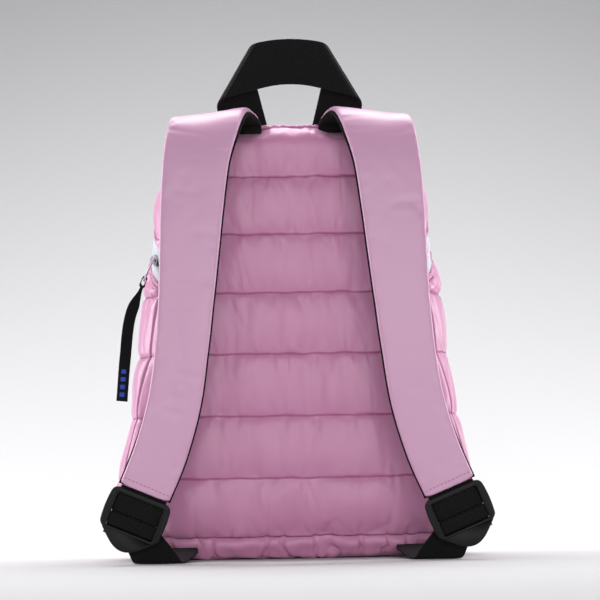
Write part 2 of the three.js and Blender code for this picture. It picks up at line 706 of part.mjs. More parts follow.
// Frames along the right shoulder strap, on the plane between its face and its mesh. Its root
// runs level with the top seam, and past the crest its width lies square to its length.
const STRAP_STEPS = 3;
const SQUARE_ROW = 4;

function strapFrames() {
  const rows = STRAP_ROUTE.map(({ up, out, stand, wide, thick, lean }) => ({
    at: new THREE.Vector3(out * BODY_HALF_WIDTH, -BACK_DEPTH - stand * STRAP_STAND,
      up * BODY_HEIGHT),
    width: wide * STRAP_WIDTH,
    thick: thick * STRAP_THICKNESS,
    lean: degToRad(lean),
  }));
  const curve = new THREE.CatmullRomCurve3(rows.map((row) => row.at), false, 'centripetal');
  const count = (rows.length - 1) * STRAP_STEPS;
  return Array.from({ length: count + 1 }, (_, step) => {
    const row = Math.min(Math.floor(step / STRAP_STEPS), rows.length - 2);
    const share = step / STRAP_STEPS - row;
    const along = curve.getTangent(step / count);
    const lean = lerp(rows[row].lean, rows[row + 1].lean, share);
    const across = new THREE.Vector3(Math.cos(lean), 0, -Math.sin(lean));
    const squared = smoothstep(step, 0, SQUARE_ROW * STRAP_STEPS);
    across.addScaledVector(along, -squared * across.dot(along)).normalize();
    const out = new THREE.Vector3().crossVectors(along, across).normalize();
    const width = lerp(rows[row].width, rows[row + 1].width, share);
    const thick = lerp(rows[row].thick, rows[row + 1].thick, share);
    return { at: curve.getPoint(step / count), across, along, out, width, thick };
  });
}

// One ring of the strap: each place is how far across and how far out, by the frame
function strapRing(frame, places) {
  return places.map(([across, out]) => frame.at.clone()
    .addScaledVector(frame.across, across)
    .addScaledVector(frame.out, out));
}

function makeStraps(frames) {
  const face = loftRings(frames.map((frame) => {
    const half = frame.width / 2;
    const rightSide = STRAP_PROFILE.map(({ across, thick }) => (
      [across * half, FIT + thick * frame.thick]));
    const leftSide = rightSide.map(([x, y]) => [-x, y]).reverse();
    return strapRing(frame, [...rightSide, ...leftSide]);
  }));
  // The mesh shows past the face along the inner edge, and past both edges near the end
  const mesh = loftRings(frames.map((frame, step) => {
    const low = smoothstep(step / frames.length, 0.75, 0.95);
    const half = frame.width / 2;
    return strapRing(frame, [
      [-half - MESH_RIM, -FIT],
      [half - MESH_RIM * (1 - 2 * low), -FIT],
      [half - MESH_RIM * (1.6 - 2 * low), -FIT - MESH_THICKNESS],
      [-half - MESH_RIM * 0.4, -FIT - MESH_THICKNESS],
    ]);
  }));
  addPiece('strap_face_right', face, STRAP_SATIN);
  addPiece('strap_face_left', mirrored(face), STRAP_SATIN);
  addPiece('strap_mesh_right', mesh, BLACK_MESH);
  addPiece('strap_mesh_left', mirrored(mesh), BLACK_MESH);
}

// Places inside the ladder lock, in its own frame: X across, Y towards the bag, Z up the strap.
const lockWidth = WEBBING_WIDTH + 2 * (FIT + 0.25) + 2 * LOCK_RAIL + 0.6;
const halfWeb = WEBBING_THICKNESS / 2;
const rimBack = -LOCK_FRONT + 3;
const endBar = {
  top: 2.4,
  bottom: -1,
  front: rimBack + WEBBING_THICKNESS + 2 * FIT,
  back: LOCK_BACK,
};
const loopBottom = endBar.bottom - FIT - WEBBING_THICKNESS;
const midBar = { top: -6.2, bottom: -12.5, front: -0.6, back: 2.2 };
const lowBarTop = -LOCK_HEIGHT / 2 + 2.3;

function lockBar({ top, bottom, front, back }) {
  return new THREE.BoxGeometry(lockWidth - LOCK_RAIL, back - front, top - bottom)
    .translate(0, (front + back) / 2, (top + bottom) / 2);
}

// The frame's outline: rounded corners, and sides that bow out a little
function lockOutline() {
  const [w, h, r] = [lockWidth / 2, LOCK_HEIGHT / 2, LOCK_CORNER];
  return new THREE.Shape()
    .moveTo(-w + r, -h)
    .lineTo(w - r, -h)
    .quadraticCurveTo(w, -h, w, -h + r)
    .quadraticCurveTo(w + 2 * LOCK_BOW, 0, w, h - r)
    .quadraticCurveTo(w, h, w - r, h)
    .lineTo(-w + r, h)
    .quadraticCurveTo(-w, h, -w, h - r)
    .quadraticCurveTo(-w - 2 * LOCK_BOW, 0, -w, -h + r)
    .quadraticCurveTo(-w, -h, -w + r, -h);
}

function lockGeometry() {
  const outline = lockOutline();
  const windowTop = LOCK_HEIGHT / 2 - LOCK_RIM;
  const window = roundedRectangle(lockWidth - 2 * LOCK_RAIL, windowTop - lowBarTop, 0.8,
    THREE.Path);
  outline.holes.push(new THREE.Path(window.getPoints(3).map((place) => (
    place.add({ x: 0, y: (windowTop + lowBarTop) / 2 })))));
  const facing = (geometry, front) => geometry.rotateX(Math.PI / 2).translate(0, front, 0);
  const rim = facing(extruded(outline, rimBack + LOCK_FRONT, 0.6, 3), rimBack);
  const backDepth = LOCK_BACK - rimBack + 1;
  const rail = new THREE.BoxGeometry(LOCK_RAIL - 0.4, backDepth, LOCK_HEIGHT - 2 * LOCK_CORNER);
  const railX = (lockWidth - LOCK_RAIL - 0.4) / 2;
  const railY = LOCK_BACK - backDepth / 2;
  const lowBar = lockBar({
    top: lowBarTop, bottom: -LOCK_HEIGHT / 2 + 0.3, front: rimBack - 1, back: LOCK_BACK });
  const foot = -LOCK_HEIGHT / 2;
  const tip = foot - LOCK_TAB;
  const shoulder = foot - LOCK_TAB * 0.54;
  const tabHalf = lockWidth / 2 - LOCK_CORNER * 0.5;
  const tab = new THREE.Shape()
    .moveTo(-tabHalf, lowBarTop - 1)
    .lineTo(-tabHalf, foot)
    .bezierCurveTo(-tabHalf * 0.64, shoulder, -tabHalf * 0.36, tip, 0, tip)
    .bezierCurveTo(tabHalf * 0.36, tip, tabHalf * 0.64, shoulder, tabHalf, foot)
    .lineTo(tabHalf, lowBarTop - 1)
    .closePath();
  const lip = facing(extruded(tab, 2.2, 0.4, 4), rimBack - 0.2);
  return joined(rim, rail.clone().translate(railX, railY, 0), rail.translate(-railX, railY, 0),
    lockBar(endBar), lockBar(midBar), lowBar, lip);
}

// Frames of a flat webbing along straight runs whose corners are eased within a reach.
// A corner is a place, its width direction and its ease. A run that twists gets frames between.
const TWIST_STEPS = 6;
const SMALLEST_TWIST_DEG = 2;

function easedFrames(corners, steps) {
  const frames = [];
  const add = (at, along, across) => frames.push({
    at,
    across: across.clone().normalize(),
    out: new THREE.Vector3().crossVectors(across, along).normalize(),
    width: WEBBING_WIDTH,
    thick: WEBBING_THICKNESS,
  });
  const way = (from, to) => to.at.clone().sub(from.at).normalize();
  const twistTo = (at, across) => {
    const before = frames.at(-1);
    const ahead = across.clone().normalize();
    if (before.across.angleTo(ahead) < degToRad(SMALLEST_TWIST_DEG)) return;
    const along = at.clone().sub(before.at).normalize();
    for (let step = 1; step < TWIST_STEPS; step += 1) {
      const share = step / TWIST_STEPS;
      add(before.at.clone().lerp(at, share), along, before.across.clone().lerp(ahead, share));
    }
  };
  add(corners[0].at, way(corners[0], corners[1]), corners[0].across);
  corners.slice(1, -1).forEach((corner, index) => {
    const [before, after] = [corners[index], corners[index + 2]];
    const bend = new THREE.QuadraticBezierCurve3(
      corner.at.clone().addScaledVector(way(corner, before), corner.ease),
      corner.at,
      corner.at.clone().addScaledVector(way(corner, after), corner.ease));
    twistTo(bend.v0, corner.across);
    for (let step = 0; step <= steps; step += 1) {
      add(bend.getPoint(step / steps), bend.getTangent(step / steps), corner.across);
    }
  });
  const [beforeLast, last] = corners.slice(-2);
  twistTo(last.at, last.across);
  add(last.at, way(beforeLast, last), last.across);
  return frames;
}

// Corners in the lock's own middle plane, each a [towards the bag, up, ease]
function lockCorners(places) {
  return places.map(([y, z, ease]) => ({
    at: new THREE.Vector3(0, y, z), across: new THREE.Vector3(1, 0, 0), ease }));
}

// The short loop of webbing from the strap's end, round the lock's upper bar and back
function endWebbingGeometry(top) {
  const frontRun = endBar.front - FIT - halfWeb;
  const backRun = endBar.back + FIT + halfWeb;
  const foot = endBar.bottom - FIT - halfWeb;
  const corners = lockCorners([
    [frontRun, top, 0],
    [frontRun, foot, WEBBING_THICKNESS * 0.85],
    [backRun, foot, WEBBING_THICKNESS * 0.85],
    [backRun, top, 0],
  ]);
  return loftRings(bandRings(easedFrames(corners, 4)));
}

// The adjustable webbing's way through the lock: up behind it, forward over the middle bar, and
// back under the lower bar to its tail
function webbingInLock() {
  const over = midBar.front - FIT - halfWeb;
  const behindBars = LOCK_BACK + FIT + halfWeb;
  const mainRun = behindBars + WEBBING_THICKNESS + 2 * FIT;
  const slot = (loopBottom + midBar.top) / 2;
  const lowSlot = (midBar.bottom + lowBarTop) / 2;
  return lockCorners([
    [mainRun, slot, 1.2],
    [over, slot, 1.2],
    [over, lowSlot, 1],
    [behindBars, lowSlot, 1],
    [behindBars, -LOCK_HEIGHT / 2 - 5, 0],
  ]);
}

// One lock with both its webbings: side is 1 on the right and -1 on the left
function makeLock(end, side, word) {
  const mirror = (v) => new THREE.Vector3(v.x * side, v.y, v.z);
  const across = mirror(end.across).multiplyScalar(side);
  const up = mirror(end.along).negate();
  const inward = new THREE.Vector3().crossVectors(up, across);
  const drop = SEAM_GAP + WEBBING_SHOW + LOCK_HEIGHT / 2;
  const frontRun = endBar.front - FIT - halfWeb;
  const seat = STRAP_THICKNESS / 2 + frontRun - FIT;
  const at = mirror(end.at).addScaledVector(up, -drop).addScaledVector(inward, -seat);
  const place = new THREE.Matrix4().makeBasis(across, inward, up).setPosition(at);
  const group = new THREE.Group();
  place.decompose(group.position, group.quaternion, group.scale);
  pack.add(group);
  addPiece(`ladder_lock_${word}`, lockGeometry(), BLACK_PLASTIC, group);
  addPiece(`strap_end_webbing_${word}`, endWebbingGeometry(LOCK_HEIGHT / 2 + WEBBING_SHOW),
    BLACK_WEBBING, group);
  return { place, side };
}

function makeLowerWebbing({ place, side }, word) {
  const level = new THREE.Vector3(1, 0, 0);
  const lift = WEBBING_THICKNESS / 2 + FIT;
  const sewn = BASE_PROFILE[0];
  const sewnHeight = rimHeight * (1 - sewn.fall);
  // The sewn end lies along the base, clear of its bulge
  const baseHalf = basePoint(1, 0, sewn.keep, sewnHeight).x;
  const sewnX = LOWER_WEBBING_ROUTE[0].out * BODY_HALF_WIDTH;
  const onBase = (x) => basePoint(x / baseHalf, 0, sewn.keep, sewnHeight);
  const [inner, seam, outer] = [-1, 0, 1].map((end) => onBase(sewnX + end * WEBBING_WIDTH / 2));
  const alongBase = outer.clone().sub(inner);
  const sewnAcross = new THREE.Vector3(alongBase.x, side * alongBase.y, 0).normalize();
  const mainRun = webbingInLock()[0].at.clone().applyMatrix4(place);
  const corners = [
    { at: seam.clone().setX(side * seam.x).setY(seam.y - FIT - 0.3), across: sewnAcross },
    ...LOWER_WEBBING_ROUTE.map(({ out, stand }, index) => ({
      at: new THREE.Vector3(side * out * BODY_HALF_WIDTH, -BACK_DEPTH - stand * STRAP_STAND,
        lerp(seam.z, lift, (index + 1) / LOWER_WEBBING_ROUTE.length)),
      across: level,
      ease: FOLD_EASE,
    })),
    { at: new THREE.Vector3(side * FOLD_OUT * BODY_HALF_WIDTH, mainRun.y, lift),
      across: level,
      ease: FOLD_EASE },
  ];
  const lockAcross = new THREE.Vector3().setFromMatrixColumn(place, 0);
  const threading = webbingInLock().map(({ at, ease }) => ({
    at: at.applyMatrix4(place), across: lockAcross, ease }));
  const frames = easedFrames([...corners, ...threading], 4);
  addPiece(`lower_webbing_${word}`, loftRings(bandRings(frames)), BLACK_WEBBING);
}

function makeCarrying() {
  const frames = strapFrames();
  makeStraps(frames);
  for (const [side, word] of [[1, 'right'], [-1, 'left']]) {
    const lock = makeLock(frames.at(-1), side, word);
    makeLowerWebbing(lock, word);
  }
}

// The carry handle: a flat webbing, bowed in its own plane over the middle, then folded softly
// backwards about a slanting line at each end so that its legs run down to the top seam.
const HANDLE_BOW_DEG = 14;
const HANDLE_BOW_LENGTH = 28;
const HANDLE_FOLD_SLANT_DEG = 31;
const HANDLE_LEAN_DEG = 8;
const BAND_ROWS = 7;
const FOLD_ROWS = 6;
const LEG_ROWS = 4;

function makeHandle() {
  const half = WEBBING_WIDTH / 2;
  const bend = degToRad(HANDLE_BOW_DEG) / HANDLE_BOW_LENGTH;
  const slant = degToRad(HANDLE_FOLD_SLANT_DEG);
  const foldWay = new THREE.Vector2(-Math.sin(slant), Math.cos(slant));
  const foldSide = new THREE.Vector2(foldWay.y, -foldWay.x);
  const foldFoot = new THREE.Vector2(HANDLE_HALF_SPAN, -HANDLE_DROP);
  const wrap = Math.PI * HANDLE_FOLD_RADIUS;
  // A point of the bowed webbing: u along it from the middle, v across it
  const bowed = (u, v) => {
    const angle = bend * Math.min(u, HANDLE_BOW_LENGTH);
    const past = Math.max(0, u - HANDLE_BOW_LENGTH);
    const flat = new THREE.Vector2(Math.sin(angle) / bend, (Math.cos(angle) - 1) / bend);
    flat.x += past * Math.cos(angle) + v * Math.sin(angle);
    flat.y += v * Math.cos(angle) - past * Math.sin(angle);
    return flat;
  };
  const pastFold = (flat) => flat.clone().sub(foldFoot).dot(foldSide);
  const lay = (u, v, depth) => {
    const flat = bowed(u, v);
    const beyond = pastFold(flat);
    const turn = clamp(beyond / HANDLE_FOLD_RADIUS, 0, Math.PI);
    const radius = HANDLE_FOLD_RADIUS - depth;
    const reach = radius * Math.sin(turn) - Math.max(0, beyond - wrap);
    if (beyond > 0) flat.addScaledVector(foldSide, reach - beyond);
    return { x: flat.x, z: flat.y, back: HANDLE_FOLD_RADIUS - radius * Math.cos(turn) };
  };
  const lean = degToRad(HANDLE_LEAN_DEG);
  const top = BODY_HEIGHT + HANDLE_RISE - half;
  const foot = BODY_HEIGHT + SEAM_GAP;
  const seamY = skin(0, BODY_HEIGHT).y;
  const point = (u, v, depth, side) => {
    const { x, z, back } = lay(u, v, depth);
    const height = top + z;
    const y = seamY - (height - foot) * Math.tan(lean) - 2 * HANDLE_FOLD_RADIUS + back;
    return new THREE.Vector3(side * x, y, height);
  };
  const lengthWhile = (holds) => {
    let short = 0;
    let long = HANDLE_HALF_SPAN * 4;
    for (let step = 0; step < 40; step += 1) {
      const guess = (short + long) / 2;
      if (holds(guess)) short = guess;
      else long = guess;
    }
    return short;
  };
  // Rows over the band, round the fold and down the leg, which ends at the top seam
  const rowLengths = (v) => {
    const stretches = [
      [BAND_ROWS, lengthWhile((u) => pastFold(bowed(u, v)) < 0)],
      [FOLD_ROWS, lengthWhile((u) => pastFold(bowed(u, v)) < wrap)],
      [LEG_ROWS, lengthWhile((u) => point(u, v, 0, 1).z > foot)],
    ];
    const lengths = [0];
    for (const [rows, end] of stretches) {
      const start = lengths.at(-1);
      for (let row = 1; row <= rows; row += 1) lengths.push(lerp(start, end, row / rows));
    }
    return lengths;
  };
  const across = [-half, -half / 2, 0, half / 2, half].map((v) => ({ v, lengths: rowLengths(v) }));
  const last = BAND_ROWS + FOLD_ROWS + LEG_ROWS;
  const grid = (depth) => {
    const rows = Array.from({ length: 2 * last + 1 }, (_, step) => step - last);
    return rows.map((row) => across.map(({ v, lengths }) =>
      point(lengths[Math.abs(row)], v, depth, Math.sign(row) || 1)));
  };
  addPiece('carry_handle', wallBetween(grid(-halfWeb), grid(halfWeb)), BLACK_WEBBING);
}

makeBody();
makeBase();
makeZip();
makeCarrying();
makeHandle();

export default pack;
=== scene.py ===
"""A child's quilted puffer backpack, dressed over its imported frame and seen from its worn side."""
import json
import math

import bmesh
import bpy
import numpy as np
from mathutils import Matrix, Vector, noise

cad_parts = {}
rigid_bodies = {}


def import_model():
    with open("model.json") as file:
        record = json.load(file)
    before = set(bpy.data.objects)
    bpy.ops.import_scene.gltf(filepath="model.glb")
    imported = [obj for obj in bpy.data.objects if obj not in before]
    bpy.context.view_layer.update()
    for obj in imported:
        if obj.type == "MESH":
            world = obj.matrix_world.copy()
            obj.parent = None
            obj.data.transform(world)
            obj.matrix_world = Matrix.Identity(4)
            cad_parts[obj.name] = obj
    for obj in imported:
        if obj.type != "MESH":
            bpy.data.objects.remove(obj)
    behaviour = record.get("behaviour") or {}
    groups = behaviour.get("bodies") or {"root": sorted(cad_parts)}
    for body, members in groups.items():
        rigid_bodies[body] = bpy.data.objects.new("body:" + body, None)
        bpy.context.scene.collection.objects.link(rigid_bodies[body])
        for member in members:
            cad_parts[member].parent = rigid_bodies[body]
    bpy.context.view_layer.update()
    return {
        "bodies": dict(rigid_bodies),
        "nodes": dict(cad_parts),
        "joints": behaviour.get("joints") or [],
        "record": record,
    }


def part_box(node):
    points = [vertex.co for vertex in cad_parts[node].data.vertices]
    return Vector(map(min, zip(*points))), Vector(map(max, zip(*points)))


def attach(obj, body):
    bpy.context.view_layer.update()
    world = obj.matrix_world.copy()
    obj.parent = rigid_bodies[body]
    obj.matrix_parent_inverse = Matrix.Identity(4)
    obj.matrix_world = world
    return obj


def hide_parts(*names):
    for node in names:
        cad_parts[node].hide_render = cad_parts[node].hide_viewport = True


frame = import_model()

# Sizes are in millimetres up to the point where a mesh is made
MM = 0.001
BODY_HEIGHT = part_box("back_panel")[1].z / MM
BODY_HALF_WIDTH = 153
BACK_DEPTH = 58
FRONT_DEPTH = 68
EDGE_ROLL = 22
FRONT_CROWN = 28
FRONT_SEAM_SHARE = 0.93
PADDED_WALL = 8
THINNEST_HOLLOW = 0.3
BASE_SEAM_HEIGHT = 18.7
SEAM_GAP = 0.4

# Body sections, as shares of the sizes above: up, half width, back seam, back and front depth
BODY_SECTIONS = np.array([
    (0.051, 0.955, 0.950, 0.84, 0.80),
    (0.100, 0.985, 0.955, 0.94, 0.90),
    (0.160, 1.000, 0.960, 0.99, 0.95),
    (0.210, 0.976, 0.965, 1.00, 0.98),
    (0.280, 0.930, 0.970, 1.00, 1.00),
    (0.360, 0.900, 0.960, 1.00, 1.00),
    (0.440, 0.878, 0.930, 1.00, 0.99),
    (0.520, 0.856, 0.905, 1.00, 0.97),
    (0.630, 0.826, 0.890, 1.00, 0.94),
    (0.700, 0.800, 0.885, 1.00, 0.90),
    (0.760, 0.782, 0.885, 1.00, 0.85),
    (0.810, 0.766, 0.890, 0.99, 0.78),
    (0.865, 0.728, 0.910, 0.98, 0.66),
    (0.910, 0.668, 0.935, 0.96, 0.50),
    (0.960, 0.590, 0.965, 0.88, 0.16),
    (1.000, 0.515, 1.000, 0.655, -0.545),
])
QUILT_SEAMS = np.array([0, 0.141, 0.292, 0.443, 0.592, 0.735, 0.876, 1])
SEAM_HEIGHTS = BASE_SEAM_HEIGHT + QUILT_SEAMS * (BODY_HEIGHT - BASE_SEAM_HEIGHT)
SMALLEST_BAND = 4

# Quilting: the panels' cells and seams, their puffs, folds and pinches, and the thread
CLOTH_CELL = 2.3
COARSE_CELL = 2.8
SEAM_DIP = 1.2
BASE_SEAM_DIP = 0.25
SEAM_CREASE = 0.85
SEAM_WANDER = 1.3
TUCK = 5
SLACK_GAP = 0.05
BACK_TOP_PUFF = 5.5
CORNER_PUFF = 0.72
CORNER_REACH = 12
ZIP_PUFF = 0.3
ZIP_REACH = 18
ROOT_MIDDLE = 55
ROOT_REACH = 33
FREE_REACH = 1.2
END_REACH = 6
PUCKER_REACH = 9
PUCKER_DEPTH = 2.6
FOLD_DEPTH = 2.6
PINCH_DEPTH = 2.2
PINCH_RISE = 16
SETTLE_FRAMES = 24
LARGEST_MOVE = 6
TOP_ROLL_HALF = 60
TOP_ROLL_RADIUS = (0.7, 1.9)
STITCH_PITCH = 3.4
STITCH_LENGTH = 2.5
STITCH_LIFT = 0.3
THREAD_RADIUS = 0.3

# Lines to stitch, each with its ways out of the cloth, gathered as the cloth is made
seam_lines = []
strap_seams = []

# Zip
ZIP_END_HEIGHT = 246
ZIP_END_WAY = 1.004
ZIP_RISE = 88
ZIP_WIDTH = 21
TAPE_THICKNESS = 0.8
TAPE_DEPTH = 2
COIL_WIDTH = 3.8
COIL_PITCH = 1.5
TOOTH_HALF_LENGTH = 1.35
TOOTH_HALF_WIDTH = 0.48
TOOTH_HALF_HEIGHT = 0.8
TOOTH_OFFSET = 0.75
TOOTH_LIFT = 0.1
SLIDER_WAY = 1.25
SLIDER_TILT = math.radians(12)
SLIDER_LENGTH = 10
SLIDER_PLATE = 1.2
SLIDER_CLEARANCE = 0.6
PULLER_LENGTH = 30
PULLER_THICKNESS = 1.5
PULLER_END_BAR = 2
PULLER_LIFT = math.radians(25)
TAB_LENGTH = 100
TAB_WIDTH = 9.6
TAB_THICKNESS = 2.2
TAB_CORD = 1.4
TAB_LOOP = 8
TAB_TWIST = 0.28
TAB_ROUTE = [(0, 0, 0), (-0.1, -0.005, -0.25), (-0.145, 0, -0.58), (-0.18, 0.01, -0.96)]

# Straps, webbings and ladder locks
STRAP_THICKNESS = 5
MESH_THICKNESS = 2
MESH_RIM = 1.2
STRAP_STAND = 54
STRAP_WIDTH = 58
ROOT_DROP = 5.5
END_SEAM_RISE = 4.5
WEBBING_WIDTH = 38
WEBBING_THICKNESS = 1.6
WEBBING_SHOW = 1.8
WEBBING_SPREAD = 1.7
LOCK_HEIGHT = 35
LOCK_BOW = 1.6
LOCK_CORNER = 5
LOCK_RAIL = 5
LOCK_RIM = 4.2
LOCK_FRONT = 4
LOCK_BACK = 3.4
LOCK_TAB = 14
FIT = 0.35

# Right shoulder strap from its root to its end: up, out, stand, width, thickness and lean, in
# shares of the sizes above and degrees
STRAP_ROUTE = np.array([
    (1.0080, 0.352, -0.310, 0.98, 0.35, 0),
    (1.0090, 0.366, -0.160, 1.01, 0.70, 3),
    (1.0150, 0.417, 0.120, 1.03, 1.00, 8),
    (1.0030, 0.452, 0.380, 1.03, 1.00, 6),
    (0.974, 0.483, 0.590, 1.00, 1.00, 0),
    (0.915, 0.515, 0.740, 0.95, 1.00, 0),
    (0.803, 0.543, 0.860, 0.90, 1.00, 0),
    (0.691, 0.562, 0.930, 0.84, 1.00, 0),
    (0.580, 0.583, 0.975, 0.78, 1.00, 0),
    (0.469, 0.611, 1.000, 0.75, 1.00, 0),
    (0.357, 0.653, 0.990, 0.75, 1.00, 0),
    (0.245, 0.732, 0.960, 0.75, 1.00, 0),
    (0.160, 0.818, 0.930, 0.74, 1.00, 0),
])
STRAP_STEPS = 12
SQUARE_ROW = 4
LOWER_WEBBING_ROUTE = [(0.673, 0.02), (0.700, 0.36), (0.730, 0.66)]
FOLD_OUT = 0.755
FOLD_EASE = 3
# Where the lower webbing is sewn to the base: how far down it, and the base's share of its width
SEWN_FALL = 0.45
SEWN_KEEP = 0.990

# Carry handle
HANDLE_RISE = 73
HANDLE_HALF_SPAN = 54
HANDLE_DROP = 33
HANDLE_FOLD_RADIUS = 5.5
HANDLE_BOW = math.radians(14)
HANDLE_BOW_LENGTH = 28
HANDLE_FOLD_SLANT = math.radians(31)
HANDLE_LEAN = math.radians(8)


def ease(value, low, high):
    """0 below low, 1 above high and smooth between them."""
    share = np.clip((value - low) / (high - low), 0, 1)
    return share * share * (3 - 2 * share)


def mix(start, end, share):
    return start + (end - start) * share


def unit(vector):
    return vector / np.linalg.norm(vector, axis=-1, keepdims=True)


def square_to(vector, way):
    """The vector turned square to a way, with its length made 1."""
    return unit(vector - way * vector.dot(way))


def run_along(line):
    """The length along a line up to each of its points."""
    return np.concatenate([[0], np.cumsum(np.linalg.norm(np.diff(line, axis=0), axis=1))])


def in_metres(*ways_and_middle):
    """A matrix that places a shape by its three ways and its middle, all in millimetres."""
    axes = np.stack(ways_and_middle, axis=-1)
    return Matrix.Scale(MM, 4) @ Matrix([*axes.tolist(), [0, 0, 0, 1]])


def smooth_column(places, values):
    """A smooth curve through a column of a table, by the share up."""
    slopes = np.empty_like(values)
    slopes[1:-1] = (values[2:] - values[:-2]) / (places[2:] - places[:-2])
    first, last = ((values[low + 1] - values[low]) / (places[low + 1] - places[low])
                   for low in (0, -2))
    slopes[0] = 1.5 * first - 0.5 * slopes[1]
    slopes[-1] = 1.5 * last - 0.5 * slopes[-2]

    def at(up):
        up = np.clip(up, places[0], places[-1])
        low = np.clip(np.searchsorted(places, up, side="right") - 1, 0, len(places) - 2)
        run = places[low + 1] - places[low]
        t = (up - places[low]) / run
        return ((1 + 2 * t) * (1 - t) ** 2 * values[low] + t * (1 - t) ** 2 * run * slopes[low]
                + t * t * (3 - 2 * t) * values[low + 1] + t * t * (t - 1) * run * slopes[low + 1])
    return at


section_half, section_seam, section_back, section_front = (
    smooth_column(BODY_SECTIONS[:, 0], BODY_SECTIONS[:, column]) for column in (1, 2, 3, 4))


def skin(around, height, inset=0.0):
    """A point of the body's skin. Around it 0 is the middle of the back, 1 the back seam, 2 the
    front seam, 3 the middle of the front, and the left half is negative or runs on to 6."""
    around, height, inset = np.broadcast_arrays(
        np.asarray(around, float), np.asarray(height, float), np.asarray(inset, float))
    around = np.where(around > 3, around - 6, around)
    side = np.where(around < 0, -1.0, 1.0)
    way = np.abs(around)
    up = height / BODY_HEIGHT
    half = section_half(up) * BODY_HALF_WIDTH
    back = section_back(up) * BACK_DEPTH
    front = section_front(up) * FRONT_DEPTH
    fullness = np.minimum(1, 1.6 * (back + front) / (BACK_DEPTH + FRONT_DEPTH))
    back_x, back_y = half * section_seam(up), EDGE_ROLL * fullness - back
    front_x, front_y = half * FRONT_SEAM_SHARE, front - FRONT_CROWN * fullness
    on_side = np.clip(way - 1, 0, 1)
    to_middle = np.clip(3 - way, 0, 1)
    bulge = half - (back_x + front_x) / 2
    crown = (1 - to_middle ** 2.5) ** 0.75
    x = np.select([way <= 1, way < 2], [
        back_x * way,
        mix(back_x, front_x, on_side) + bulge * np.sin(np.pi * on_side) ** 0.8,
    ], front_x * to_middle)
    y = np.select([way <= 1, way < 2], [
        (back_y + back) * way ** 5 - back,
        mix(back_y, front_y, on_side),
    ], mix(front_y, front, crown))
    spine = (front - back) / 2
    keep = np.maximum(THINNEST_HOLLOW, 1 - inset / np.maximum((back + front) / 2, PADDED_WALL))
    return np.stack([
        side * x * (1 - inset / half),
        spine + (y - spine) * keep,
        inset + height * (BODY_HEIGHT - 2 * inset) / BODY_HEIGHT,
    ], axis=-1)


def zip_line(around):
    way = np.abs(np.where(around > 3, 6 - around, around))
    climb = np.sin((way - 1) * np.pi / 4)
    return ZIP_END_HEIGHT + ZIP_RISE * (climb + climb ** 2) / 2


def zip_edge(around, offset):
    """Heights at a distance above or below the zip's middle line, square to the line."""
    way = np.abs(np.where(around > 3, 6 - around, around))
    step = 0.02
    start = np.clip(way, 1, 3 - step)
    low, high = zip_line(start), zip_line(start + step)
    run = np.linalg.norm((skin(start, low) - skin(start + step, high))[..., :2], axis=-1)
    return zip_line(way) + offset * np.hypot(1, (high - low) / run)


def rounding(points, amount, scale, seed):
    """A gentle noise for each point, the same on every run."""
    return np.array([noise.noise(Vector(p) * scale + Vector((seed, 2.3 * seed, 0))) * amount
                     for p in points.reshape(-1, 3)]).reshape(points.shape[:-1])


def surface(name, points, uv=None, wrapped=False, capped=False, outward=None, sharp_rows=(),
            from_seam=None):
    """A grid of points, rows by columns, made a mesh. Its width and length are kept as UVs."""
    rows, columns = points.shape[:2]
    if wrapped:
        points = np.concatenate([points, points[:, :1]], axis=1)
        columns += 1
    if uv is None:
        across = np.linalg.norm(np.diff(points, axis=1), axis=-1)
        along = np.linalg.norm(np.diff(points, axis=0), axis=-1).mean(axis=1)
        u = np.concatenate([np.zeros((rows, 1)), np.cumsum(across, axis=1)], axis=1)
        v = np.concatenate([[0], np.cumsum(along)])
        uv = np.stack([u, np.broadcast_to(v[:, None], u.shape)], axis=-1)
    bm = bmesh.new()
    layer = bm.loops.layers.uv.new("cloth")
    bmesh.ops.create_grid(bm, x_segments=columns - 1, y_segments=rows - 1, size=1)
    bm.verts.index_update()
    flat = points.reshape(-1, 3) * MM
    places = uv.reshape(-1, 2) * MM
    for vertex in bm.verts:
        vertex.co = flat[vertex.index]
    for face in bm.faces:
        for loop in face.loops:
            loop[layer].uv = places[loop.vert.index]
    if from_seam is not None:
        layer = bm.verts.layers.float.new("from_seam")
        for vertex in bm.verts:
            vertex[layer] = float(from_seam.flat[vertex.index]) * MM
    if len(sharp_rows):
        crease = bm.edges.layers.float.new("crease_edge")
        sharp = [int(row) for row in sharp_rows]
        for edge in bm.edges:
            low, high = (vertex.index // columns for vertex in edge.verts)
            if low == high and low in sharp:
                edge[crease] = 1.0 if low in (sharp[0], sharp[-1]) else SEAM_CREASE
    if wrapped:
        bmesh.ops.remove_doubles(bm, verts=bm.verts, dist=1e-7)
    if capped:
        edges = [edge for edge in bm.edges if edge.is_boundary]
        bmesh.ops.holes_fill(bm, edges=edges, sides=0)
        bmesh.ops.recalc_face_normals(bm, faces=bm.faces)
    elif outward is not None:
        middle = sum((face.normal.dot(outward(face.calc_center_median())) for face in bm.faces), 0.0)
        if middle < 0:
            bmesh.ops.reverse_faces(bm, faces=bm.faces)
    return finished(name, bm)


def finished(name, bm):
    """The bmesh made an object of the scene, at the origin."""
    mesh = bpy.data.meshes.new(name)
    for face in bm.faces:
        face.smooth = True
    bm.to_mesh(mesh)
    bm.free()
    piece = bpy.data.objects.new(name, mesh)
    bpy.context.scene.collection.objects.link(piece)
    return piece


def subdivide(piece):
    modifier = piece.modifiers.new("fine", "SUBSURF")
    modifier.levels = 1
    modifier.render_levels = 1


def from_body(place):
    """Which way is out of the body at a place."""
    return Vector((place.x, place.y - 5 * MM, 0.2 * (place.z - 180 * MM)))


